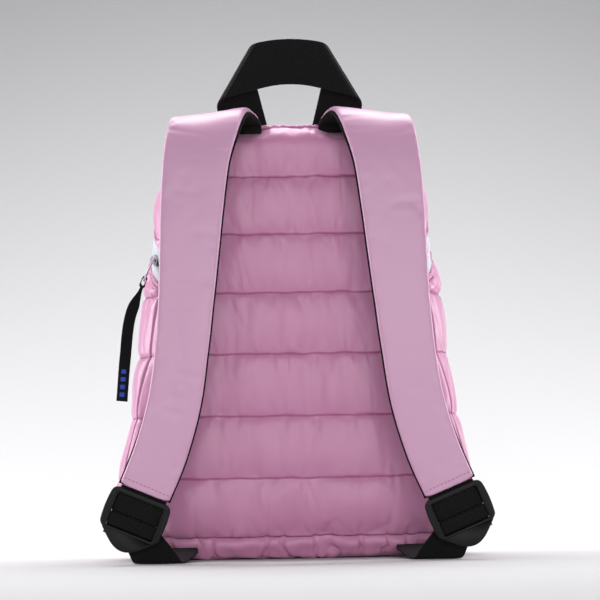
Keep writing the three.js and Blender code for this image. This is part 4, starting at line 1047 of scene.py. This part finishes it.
def lock_loop(half_width, top, bottom, corner, bow, steps=7):
    """Points round a rectangle with rounded corners and bowed sides, in the lock's face."""
    turn = np.linspace(0, np.pi / 2, steps)
    rounds = corner * np.stack([np.sin(turn) - 1, np.cos(turn) - 1], axis=-1)
    top_right = rounds + (half_width, top)
    low_right = (rounds * (1, -1) + (half_width, bottom))[::-1]
    side_z = np.linspace(top - corner, bottom + corner, 2 * steps)[1:-1]
    side = np.stack([np.full(len(side_z), half_width), side_z], axis=-1)
    level_x = np.linspace(half_width - corner, corner - half_width, 5 * steps)[1:-1]
    low = np.stack([level_x, np.full(len(level_x), bottom)], axis=-1)
    right = np.concatenate([top_right, side, low_right])
    left = right[::-1] * (-1, 1)
    loop = np.concatenate([right, low, left, low[::-1] * (1, 0) + (0, top)])
    share = np.clip((loop[:, 1] - bottom) / (top - bottom), 0, 1)
    return loop + np.stack([np.sign(loop[:, 0]) * bow * 4 * share * (1 - share),
                            np.zeros(len(loop))], axis=-1)


def make_lock(place, word):
    """The ladder lock: a bowed frame, three bars and a lifting tab, all with rounded edges."""
    half_width, half_height = LOCK_WIDTH / 2, LOCK_HEIGHT / 2
    front, back = -LOCK_FRONT, 3 - LOCK_FRONT
    outer = lock_loop(half_width, half_height, -half_height, LOCK_CORNER, LOCK_BOW)
    inner = lock_loop(half_width - LOCK_RAIL, half_height - LOCK_RIM, LOW_BAR_TOP, 0.8, 0.0)
    # Half the rim's section: the share of the way to its inner edge, and of its depth
    half = [(0, 1), (0, 0.35), (0.05, 0.16), (0.16, 0.03), (0.34, 0)]
    rim = []
    for share, depth in half + [(1 - share, depth) for share, depth in reversed(half)]:
        flat = mix(outer, inner, share)
        level_y = np.full(len(flat), mix(front, back, depth))
        rim.append(np.stack([flat[:, 0], level_y, flat[:, 1]], axis=-1))
    rim = np.array(rim + rim[:1])
    bm = bmesh.new()
    move_into(bm, surface(f"lock_rim_{word}", rim, wrapped=True))
    bmesh.ops.remove_doubles(bm, verts=bm.verts, dist=1e-7)
    bmesh.ops.recalc_face_normals(bm, faces=bm.faces)
    bmesh.ops.scale(bm, verts=bm.verts, vec=Vector((1, 1, 1)) / MM)
    wide = half_width - LOCK_RAIL / 2
    for bar in (END_BAR, MIDDLE_BAR):
        rounded_box(bm, (-wide, bar["front"], bar["bottom"]), (wide, bar["back"], bar["top"]), 0.7)
    rounded_box(bm, (-wide, back - 1, 0.3 - half_height), (wide, LOCK_BACK, LOW_BAR_TOP), 0.7)
    for side in (-1, 1):
        middle = side * (half_width - LOCK_RAIL / 2 - 0.2)
        rounded_box(bm, (middle - LOCK_RAIL / 2 + 0.2, back - 1, LOCK_CORNER - half_height),
                    (middle + LOCK_RAIL / 2 - 0.2, LOCK_BACK, half_height - LOCK_CORNER), 0.6)
        # A raised rib stands along each side of the frame
        rib = side * (half_width - LOCK_RAIL * 0.42)
        rounded_box(bm, (rib - 0.9, front - 0.55, 2.5 - half_height),
                    (rib + 0.9, front + 0.8, half_height - 3.5), 0.5)
    lock_tab(bm, half_width - LOCK_CORNER / 2, half_height)
    at, axes = place
    bmesh.ops.transform(bm, matrix=in_metres(*axes, at), verts=bm.verts)
    lock = finished(f"ladder_lock_{word}_moulded", bm)
    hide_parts(f"ladder_lock_{word}")
    dress(lock, black_plastic)


def lock_tab(bm, half, half_height):
    """The lifting tab under the frame: a thin rounded lip."""
    tip = half_height + LOCK_TAB
    shoulder = -half_height - LOCK_TAB * 0.54
    outline = []
    for t in np.linspace(0, 1, 21):
        ends = ((1 - t) ** 3, 3 * t * (1 - t) ** 2, 3 * t * t * (1 - t), t ** 3)
        outline.append((half * (-ends[0] - 0.64 * ends[1] - 0.36 * ends[2]),
                        -half_height * ends[0] + shoulder * ends[1] - tip * (ends[2] + ends[3])))
    outline += [(-x, z) for x, z in reversed(outline[:-1])]
    front, back = -LOCK_FRONT + 0.8, 3 - LOCK_FRONT - 0.2
    rows = []
    for inset, y in ((0.0, back), (0.0, mix(back, front, 0.6)), (0.35, mix(back, front, 0.9)),
                     (0.9, front)):
        rows.append([(x * (1 - inset / half), y, z + inset * 0.8) for x, z in outline])
    verts = [[bm.verts.new(point) for point in row] for row in rows]
    for low, high in zip(verts, verts[1:]):
        for index in range(len(low) - 1):
            bm.faces.new((low[index], low[index + 1], high[index + 1], high[index]))
    top_front = [bm.verts.new((x, front, LOW_BAR_TOP - 1)) for x, _, _ in
                 (rows[-1][0], rows[-1][-1])]
    top_back = [bm.verts.new((x, back, LOW_BAR_TOP - 1)) for x, _, _ in (rows[0][0], rows[0][-1])]
    bm.faces.new([top_front[0], *verts[-1], top_front[1]])
    bm.faces.new([top_back[1], *reversed(verts[0]), top_back[0]])
    bm.faces.new((top_front[0], top_front[1], top_back[1], top_back[0]))
    bm.faces.new([top_back[0], *[row[0] for row in verts], top_front[0]])
    bm.faces.new([top_front[1], *[row[-1] for row in reversed(verts)], top_back[1]])
    bmesh.ops.recalc_face_normals(bm, faces=bm.faces)


def make_handle():
    """The carry handle: webbing bowed in its own plane and folded about a slanting line."""
    half = WEBBING_WIDTH / 2
    bend = HANDLE_BOW / HANDLE_BOW_LENGTH
    fold_side = np.array([math.cos(HANDLE_FOLD_SLANT), math.sin(HANDLE_FOLD_SLANT)])
    fold_foot = np.array([HANDLE_HALF_SPAN, -HANDLE_DROP])
    wrap = math.pi * HANDLE_FOLD_RADIUS

    def bowed(u, v):
        angle = bend * min(u, HANDLE_BOW_LENGTH)
        past = max(0.0, u - HANDLE_BOW_LENGTH)
        return np.array([
            math.sin(angle) / bend + past * math.cos(angle) + v * math.sin(angle),
            (math.cos(angle) - 1) / bend + v * math.cos(angle) - past * math.sin(angle)])

    def beyond(u, v):
        return float((bowed(u, v) - fold_foot).dot(fold_side))

    top = BODY_HEIGHT + HANDLE_RISE - half
    foot = BODY_HEIGHT + SEAM_GAP
    seam_y = skin(0, BODY_HEIGHT)[1]

    def point(u, v, depth, side):
        flat = bowed(u, v)
        past = beyond(u, v)
        turn = min(max(past / HANDLE_FOLD_RADIUS, 0), math.pi)
        radius = HANDLE_FOLD_RADIUS - depth
        reach = radius * math.sin(turn) - max(0.0, past - wrap)
        if past > 0:
            flat = flat + fold_side * (reach - past)
        height = top + flat[1]
        y = (seam_y - (height - foot) * math.tan(HANDLE_LEAN) - 2 * HANDLE_FOLD_RADIUS
             + HANDLE_FOLD_RADIUS - radius * math.cos(turn))
        return (side * flat[0], y, height)

    def length_while(holds):
        short, long = 0.0, HANDLE_HALF_SPAN * 4.0
        for _ in range(40):
            guess = (short + long) / 2
            short, long = (guess, long) if holds(guess) else (short, guess)
        return short

    outline = [(v * half, 1.0) for v in np.linspace(-0.94, 0.94, 15)]
    outline = [(-half * 0.985, 0.8), *outline, (half * 0.985, 0.8), (half, 0.0)]
    outline += [(v, -d) for v, d in reversed(outline[:-1])] + [(-half, 0.0)]
    lengths = []
    for v, _ in outline:
        marks = [0.0, length_while(lambda u: beyond(u, v) < 0),
                 length_while(lambda u: beyond(u, v) < wrap),
                 length_while(lambda u: point(u, v, 0, 1)[2] > foot)]
        run = [np.linspace(a, b, n, endpoint=False)
               for a, b, n in zip(marks, marks[1:], (26, 14, 16))]
        lengths.append(np.concatenate([*run, [marks[-1]]]))
    lengths = np.array(lengths)
    last = lengths.shape[1] - 1
    rings, uv = [], []
    for row in range(-last, last + 1):
        side = -1 if row < 0 else 1
        runs = lengths[:, abs(row)]
        rings.append([point(u, v, d * HALF_WEB, side) for u, (v, d) in zip(runs, outline)])
        uv.append([(v, side * u) for u, (v, _) in zip(runs, outline)])
    uv = np.array(uv)
    uv = np.concatenate([uv, uv[:, :1]], axis=1)
    handle = surface("webbing_handle", np.array(rings), uv=uv, wrapped=True, capped=True)
    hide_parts("carry_handle")
    dress(handle, black_webbing)


def dress(piece, material, body="bag"):
    """Gives a piece its material and body."""
    piece.data.materials.clear()
    piece.data.materials.append(material)
    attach(piece, body)


# Materials. Shared effects are node groups with named sockets.
def new_group(name, inputs, outputs):
    group = bpy.data.node_groups.new(name, "ShaderNodeTree")
    for label, kind, value in inputs:
        socket = group.interface.new_socket(name=label, in_out="INPUT", socket_type=kind)
        if value is not None:
            socket.default_value = value
    for label, kind in outputs:
        group.interface.new_socket(name=label, in_out="OUTPUT", socket_type=kind)
    return group, group.nodes.new("NodeGroupInput"), group.nodes.new("NodeGroupOutput")


def node(tree, kind, links=None, **settings):
    """A node with its settings and its inputs, each a value or another node's socket."""
    made = tree.nodes.new(kind)
    for key, value in settings.items():
        setattr(made, key, value)
    for key, value in (links or {}).items():
        if isinstance(value, bpy.types.NodeSocket):
            tree.links.new(value, made.inputs[key])
        else:
            made.inputs[key].default_value = value
    return made


def combine(tree, operation, *values):
    """The result of a math node, whose inputs are plain values or other nodes' sockets."""
    return node(tree, "ShaderNodeMath", dict(enumerate(values)), operation=operation).outputs[0]


def plain_weave_group():
    """Over and under threads of a plain weave on a flat coordinate, with its height."""
    group, given, result = new_group("plain weave", [
        ("Vector", "NodeSocketVector", None), ("Threads per metre", "NodeSocketFloat", 1500.0)],
        [("Height", "NodeSocketFloat")])
    scaled = node(group, "ShaderNodeVectorMath", {
        0: given.outputs["Vector"], "Scale": given.outputs["Threads per metre"]},
        operation="SCALE")
    parts = node(group, "ShaderNodeSeparateXYZ", {0: scaled.outputs[0]})
    waves = [combine(group, "SINE", combine(group, "MULTIPLY", parts.outputs[axis], math.pi))
             for axis in (0, 1)]
    group.links.new(combine(group, "MULTIPLY", *waves), result.inputs["Height"])
    return group


def crease_group():
    """Soft cloth creases: valleys where a stretched noise crosses its middle."""
    group, given, result = new_group("soft creases", [
        ("Vector", "NodeSocketVector", None), ("Scale", "NodeSocketFloat", 30.0),
        ("Stretch", "NodeSocketVector", (1.0, 1.0, 1.0))],
        [("Height", "NodeSocketFloat")])
    pulled = node(group, "ShaderNodeVectorMath", {
        0: given.outputs["Vector"], 1: given.outputs["Stretch"]}, operation="MULTIPLY")
    broad = node(group, "ShaderNodeTexNoise", {
        "Vector": pulled.outputs[0], "Scale": given.outputs["Scale"], "Detail": 3.0,
        "Roughness": 0.45, "Distortion": 0.6})
    from_middle = combine(group, "SUBTRACT", broad.outputs[0], 0.5)
    group.links.new(combine(group, "ABSOLUTE", from_middle), result.inputs["Height"])
    return group


def new_material(name, **values):
    """A material whose plain values sit on the shader itself."""
    material = bpy.data.materials.new(name)
    material.use_nodes = True
    shader = material.node_tree.nodes["Principled BSDF"]
    for label, value in values.items():
        shader.inputs[label.replace("_", " ")].default_value = value
    return material, material.node_tree, shader


WEAVE = plain_weave_group()
CREASES = crease_group()


def bumped(tree, shader, height, distance, strength, below=None):
    bump = node(tree, "ShaderNodeBump", {"Height": height, "Distance": distance,
                                         "Strength": strength})
    if below is not None:
        tree.links.new(below.outputs["Normal"], bump.inputs["Normal"])
    tree.links.new(bump.outputs["Normal"], shader.inputs["Normal"])
    return bump


def shaded(tree, shader, colour, value, span):
    """Colours the shader, darker or lighter with a value mapped over a span."""
    shade = node(tree, "ShaderNodeMapRange", {"Value": value, **span})
    tint = node(tree, "ShaderNodeVectorMath", {0: colour[:3], "Scale": shade.outputs[0]},
                operation="SCALE")
    tree.links.new(tint.outputs[0], shader.inputs["Base Color"])


def linear(red, green, blue):
    """A colour given as 0 to 255 on screen, as the shader wants it."""
    return (*(((value / 255 + 0.055) / 1.055) ** 2.4 for value in (red, green, blue)), 1.0)


# A deeper pink painted along the quilting seams, standing in for the shade in their creases
PAINTED_SEAM_SHADE = linear(176, 84, 134)


def satin(name, colour, deep, roughness, crease, seams=False):
    """Thin satin nylon: soft broad sheen, faint creases and a fine weave, and where seams is true a
    painted shade of deeper pink along the quilting seams."""
    material, tree, shader = new_material(
        name, Roughness=roughness, Sheen_Weight=0.35, Sheen_Roughness=0.35,
        Sheen_Tint=(1.0, 0.86, 0.95, 1.0), Specular_IOR_Level=0.55)
    place = node(tree, "ShaderNodeTexCoord").outputs["Object"]
    cloud = node(tree, "ShaderNodeTexNoise", {"Vector": place, "Scale": 11.0, "Detail": 3.0})
    tint = node(tree, "ShaderNodeMix", {"Factor": cloud.outputs[0], "A": deep, "B": colour},
                data_type="RGBA")
    tree.links.new(tint.outputs["Result"], shader.inputs["Base Color"])
    creases = node(tree, "ShaderNodeGroup", {
        "Vector": place, "Scale": 24.0, "Stretch": (1.0, 1.0, 0.55)}, node_tree=CREASES)
    fold = bumped(tree, shader, creases.outputs["Height"], 0.003 * crease, 0.5)
    cloth = node(tree, "ShaderNodeTexCoord").outputs["UV"]
    threads = node(tree, "ShaderNodeGroup", {"Vector": cloth, "Threads per metre": 1500.0},
                   node_tree=WEAVE)
    bumped(tree, shader, threads.outputs["Height"], 0.00005, 0.3, below=fold)
    if seams:
        # Painted shade: the cloth turns a deeper pink close to each quilting seam, as the shade in
        # its crease
        distance = node(tree, "ShaderNodeAttribute", attribute_name="from_seam").outputs["Fac"]
        shade = node(tree, "ShaderNodeMapRange", {
            "Value": distance, "From Min": 0.0002, "From Max": 0.0016, "To Min": 0.0,
            "To Max": 1.0}, interpolation_type="SMOOTHSTEP")
        seam_shaded = node(tree, "ShaderNodeMix", {
            "Factor": shade.outputs[0], "A": PAINTED_SEAM_SHADE, "B": tint.outputs["Result"]},
            data_type="RGBA")
        tree.links.new(seam_shaded.outputs["Result"], shader.inputs["Base Color"])
    return material


body_pinks = (linear(211, 143, 181), linear(203, 134, 173))
quilted_satin = satin("quilted satin nylon", *body_pinks, 0.36, 1.0, seams=True)
pink_satin = satin("pink satin nylon", *body_pinks, 0.36, 1.0)
pink_thread = satin("pink thread", linear(176, 96, 142), linear(160, 84, 126), 0.55, 0.2)
strap_satin = satin("pale satin nylon", linear(214, 165, 196), linear(208, 157, 190), 0.37, 0.5)


def webbing_material(name, colour, rib):
    """Woven webbing: a plain weave that lifts it and paints shade and highlight on it, read from the
    band's UVs.
    """
    material, tree, shader = new_material(name, Roughness=0.75, Sheen_Weight=0.04,
                                          Sheen_Roughness=0.5, Specular_IOR_Level=0.2)
    place = node(tree, "ShaderNodeTexCoord").outputs["UV"]
    threads = node(tree, "ShaderNodeGroup", {"Vector": place, "Threads per metre": rib},
                   node_tree=WEAVE)
    # Painted shade and highlight: the weave's low threads are darkened and its high ones lightened
    shaded(tree, shader, colour, threads.outputs["Height"],
           {"From Min": -1.0, "To Min": 0.55, "To Max": 1.5})
    bumped(tree, shader, threads.outputs["Height"], 0.0004, 0.8)
    return material


black_webbing = webbing_material("black webbing", linear(11, 11, 12), 620.0)
white_tape = webbing_material("white zip tape", linear(232, 233, 244), 1400.0)
black_ribbon = webbing_material("black ribbon", linear(15, 14, 17), 1300.0)


# The ribbon's plain bars, in metres along and across it
BAR_PITCH = 0.0065
BAR_LENGTH = 0.0036
BAR_HALF_WIDTH = 0.0021
BARS_FROM = 0.069
BARS_TO = 0.096
BAR_BLUE = linear(62, 92, 214)


def add_marks(material):
    """A few plain blue bars woven into the ribbon's lower end."""
    tree = material.node_tree
    shader = tree.nodes["Principled BSDF"]
    plain = shader.inputs["Base Color"].links[0].from_socket
    parts = node(tree, "ShaderNodeSeparateXYZ", {
        0: node(tree, "ShaderNodeTexCoord").outputs["UV"]})
    across, along = parts.outputs[0], parts.outputs[1]
    mask = combine(tree, "LESS_THAN", combine(tree, "WRAP", along, BAR_PITCH, 0.0), BAR_LENGTH)
    for within in (
            combine(tree, "LESS_THAN", combine(tree, "ABSOLUTE", across), BAR_HALF_WIDTH),
            combine(tree, "GREATER_THAN", along, BARS_FROM),
            combine(tree, "LESS_THAN", along, BARS_TO)):
        mask = combine(tree, "MULTIPLY", mask, within)
    blended = node(tree, "ShaderNodeMix", {"Factor": mask, "A": plain, "B": BAR_BLUE},
                   data_type="RGBA")
    tree.links.new(blended.outputs["Result"], shader.inputs["Base Color"])


add_marks(black_ribbon)


def mesh_material():
    """Spacer mesh: rows of small holes in a matte knit, painted darker as the shade inside them."""
    material, tree, shader = new_material("black spacer mesh", Roughness=0.85,
                                          Specular_IOR_Level=0.25)
    place = node(tree, "ShaderNodeTexCoord").outputs["UV"]
    holes = node(tree, "ShaderNodeTexVoronoi", {"Vector": place, "Scale": 520.0,
                                               "Randomness": 0.15})
    # The knit's pattern of holes is real; their darkness is painted shade
    shaded(tree, shader, linear(20, 17, 18), holes.outputs["Distance"],
           {"From Min": 0.15, "From Max": 0.5, "To Min": 0.3, "To Max": 1.3})
    bumped(tree, shader, holes.outputs["Distance"], 0.0006, 0.7)
    return material


def grained_material(name, colour, roughness, grain, depth, **values):
    """A moulded or cast surface with a fine even grain."""
    material, tree, shader = new_material(name, Roughness=roughness, **values)
    place = node(tree, "ShaderNodeTexCoord").outputs["Object"]
    speck = node(tree, "ShaderNodeTexNoise", {"Vector": place, "Scale": grain, "Detail": 4.0})
    shaded(tree, shader, colour, speck.outputs[0], {"To Min": 0.85, "To Max": 1.15})
    bumped(tree, shader, speck.outputs[0], depth, 0.4)
    return material


black_mesh = mesh_material()
black_plastic = grained_material("black moulded plastic", linear(12, 12, 13), 0.55, 1500.0,
                                 0.0001, Specular_IOR_Level=0.3)
white_coil = grained_material("white zip coil", linear(236, 237, 246), 0.35, 900.0, 0.00005)
silver_metal = grained_material("silver metal", linear(205, 206, 210), 0.28, 1200.0, 0.00004,
                                Metallic=1.0)


def make_metal():
    for name in ("zip_slider", "zip_puller"):
        piece = frame["nodes"][name]
        piece.data.materials.clear()
        piece.data.materials.append(silver_metal)


# Floor, light and camera
def make_stage():
    """A pale floor that curves up into a backdrop."""
    near, foot, curve, wall = -3000, 260, 1900, 2000
    profile = []
    for share in np.linspace(0, 1, 120):
        if share < 0.3:
            profile.append((mix(near, foot, share / 0.3), 0.0))
        elif share < 0.8:
            angle = (share - 0.3) / 0.5 * math.pi / 2
            profile.append((foot + curve * math.sin(angle), curve * (1 - math.cos(angle))))
        else:
            profile.append((foot + curve, curve + wall * (share - 0.8) / 0.2))
    points = np.array([[(x, y, z) for x in np.linspace(-3500, 3500, 8)] for y, z in profile])
    floor = surface("pale_floor", points)
    paint, _, _ = new_material("pale floor", Roughness=0.9, Base_Color=(0.57, 0.57, 0.58, 1))
    floor.data.materials.append(paint)


def add_light(name, place, target, size, power):
    data = bpy.data.lights.new(name, "AREA")
    data.shape = "RECTANGLE"
    data.size, data.size_y = size
    data.energy = power
    lamp = bpy.data.objects.new(name, data)
    lamp.location = place
    lamp.rotation_euler = (Vector(target) - Vector(place)).to_track_quat("-Z", "Y").to_euler()
    bpy.context.scene.collection.objects.link(lamp)


def make_lights():
    world = bpy.data.worlds.new("studio")
    world.use_nodes = True
    background = world.node_tree.nodes["Background"]
    background.inputs["Color"].default_value = (0.9, 0.9, 0.92, 1)
    background.inputs["Strength"].default_value = 0.35
    bpy.context.scene.world = world
    add_light("overhead softbox", (0, 0.5, 1.6), (0, -0.05, 0.2), (1.4, 0.9), 28)
    add_light("left strip", (-1.25, 0.35, 0.55), (0, 0, 0.2), (0.4, 1.3), 17)
    add_light("right strip", (1.25, 0.35, 0.55), (0, 0, 0.2), (0.4, 1.3), 15)
    add_light("front fill", (0.2, -2.4, 0.7), (0, 0, 0.2), (1.6, 1.1), 14.5)
    add_light("low fill", (0, -1.6, 0.12), (0, 0, 0.06), (1.4, 0.2), 1.6)


def make_camera():
    data = bpy.data.cameras.new("camera")
    data.sensor_width = 36
    data.lens = 157
    data.clip_end = 20
    camera = bpy.data.objects.new("camera", data)
    target = Vector((0.0058, -0.058, 0.2175))
    distance, height, turn = 2.2, 0.09, math.radians(-1)
    place = Vector((target.x + distance * math.sin(turn), target.y - distance * math.cos(turn),
                    height))
    camera.location = place
    look = (target - place).to_track_quat("-Z", "Y")
    camera.rotation_mode = "QUATERNION"
    camera.rotation_quaternion = look @ Matrix.Rotation(math.radians(-1), 3, "Z").to_quaternion()
    bpy.context.scene.collection.objects.link(camera)
    bpy.context.scene.camera = camera


make_camera()
make_body()
make_base()
make_zip()
route = strap_frames()
for side, word in ((1, "right"), (-1, "left")):
    make_strap_face(route, side, word, 20 + side)
    make_strap_mesh(route, side, word)
    place = lock_place(route[-1], side)
    make_lock(place, word)
    make_webbings(place, side, word)
make_stitches("strap_end_stitches", strap_seams)
make_handle()
make_metal()
make_pull_tab()
make_stage()
make_lights()
bpy.context.scene.view_settings.view_transform = "Standard"
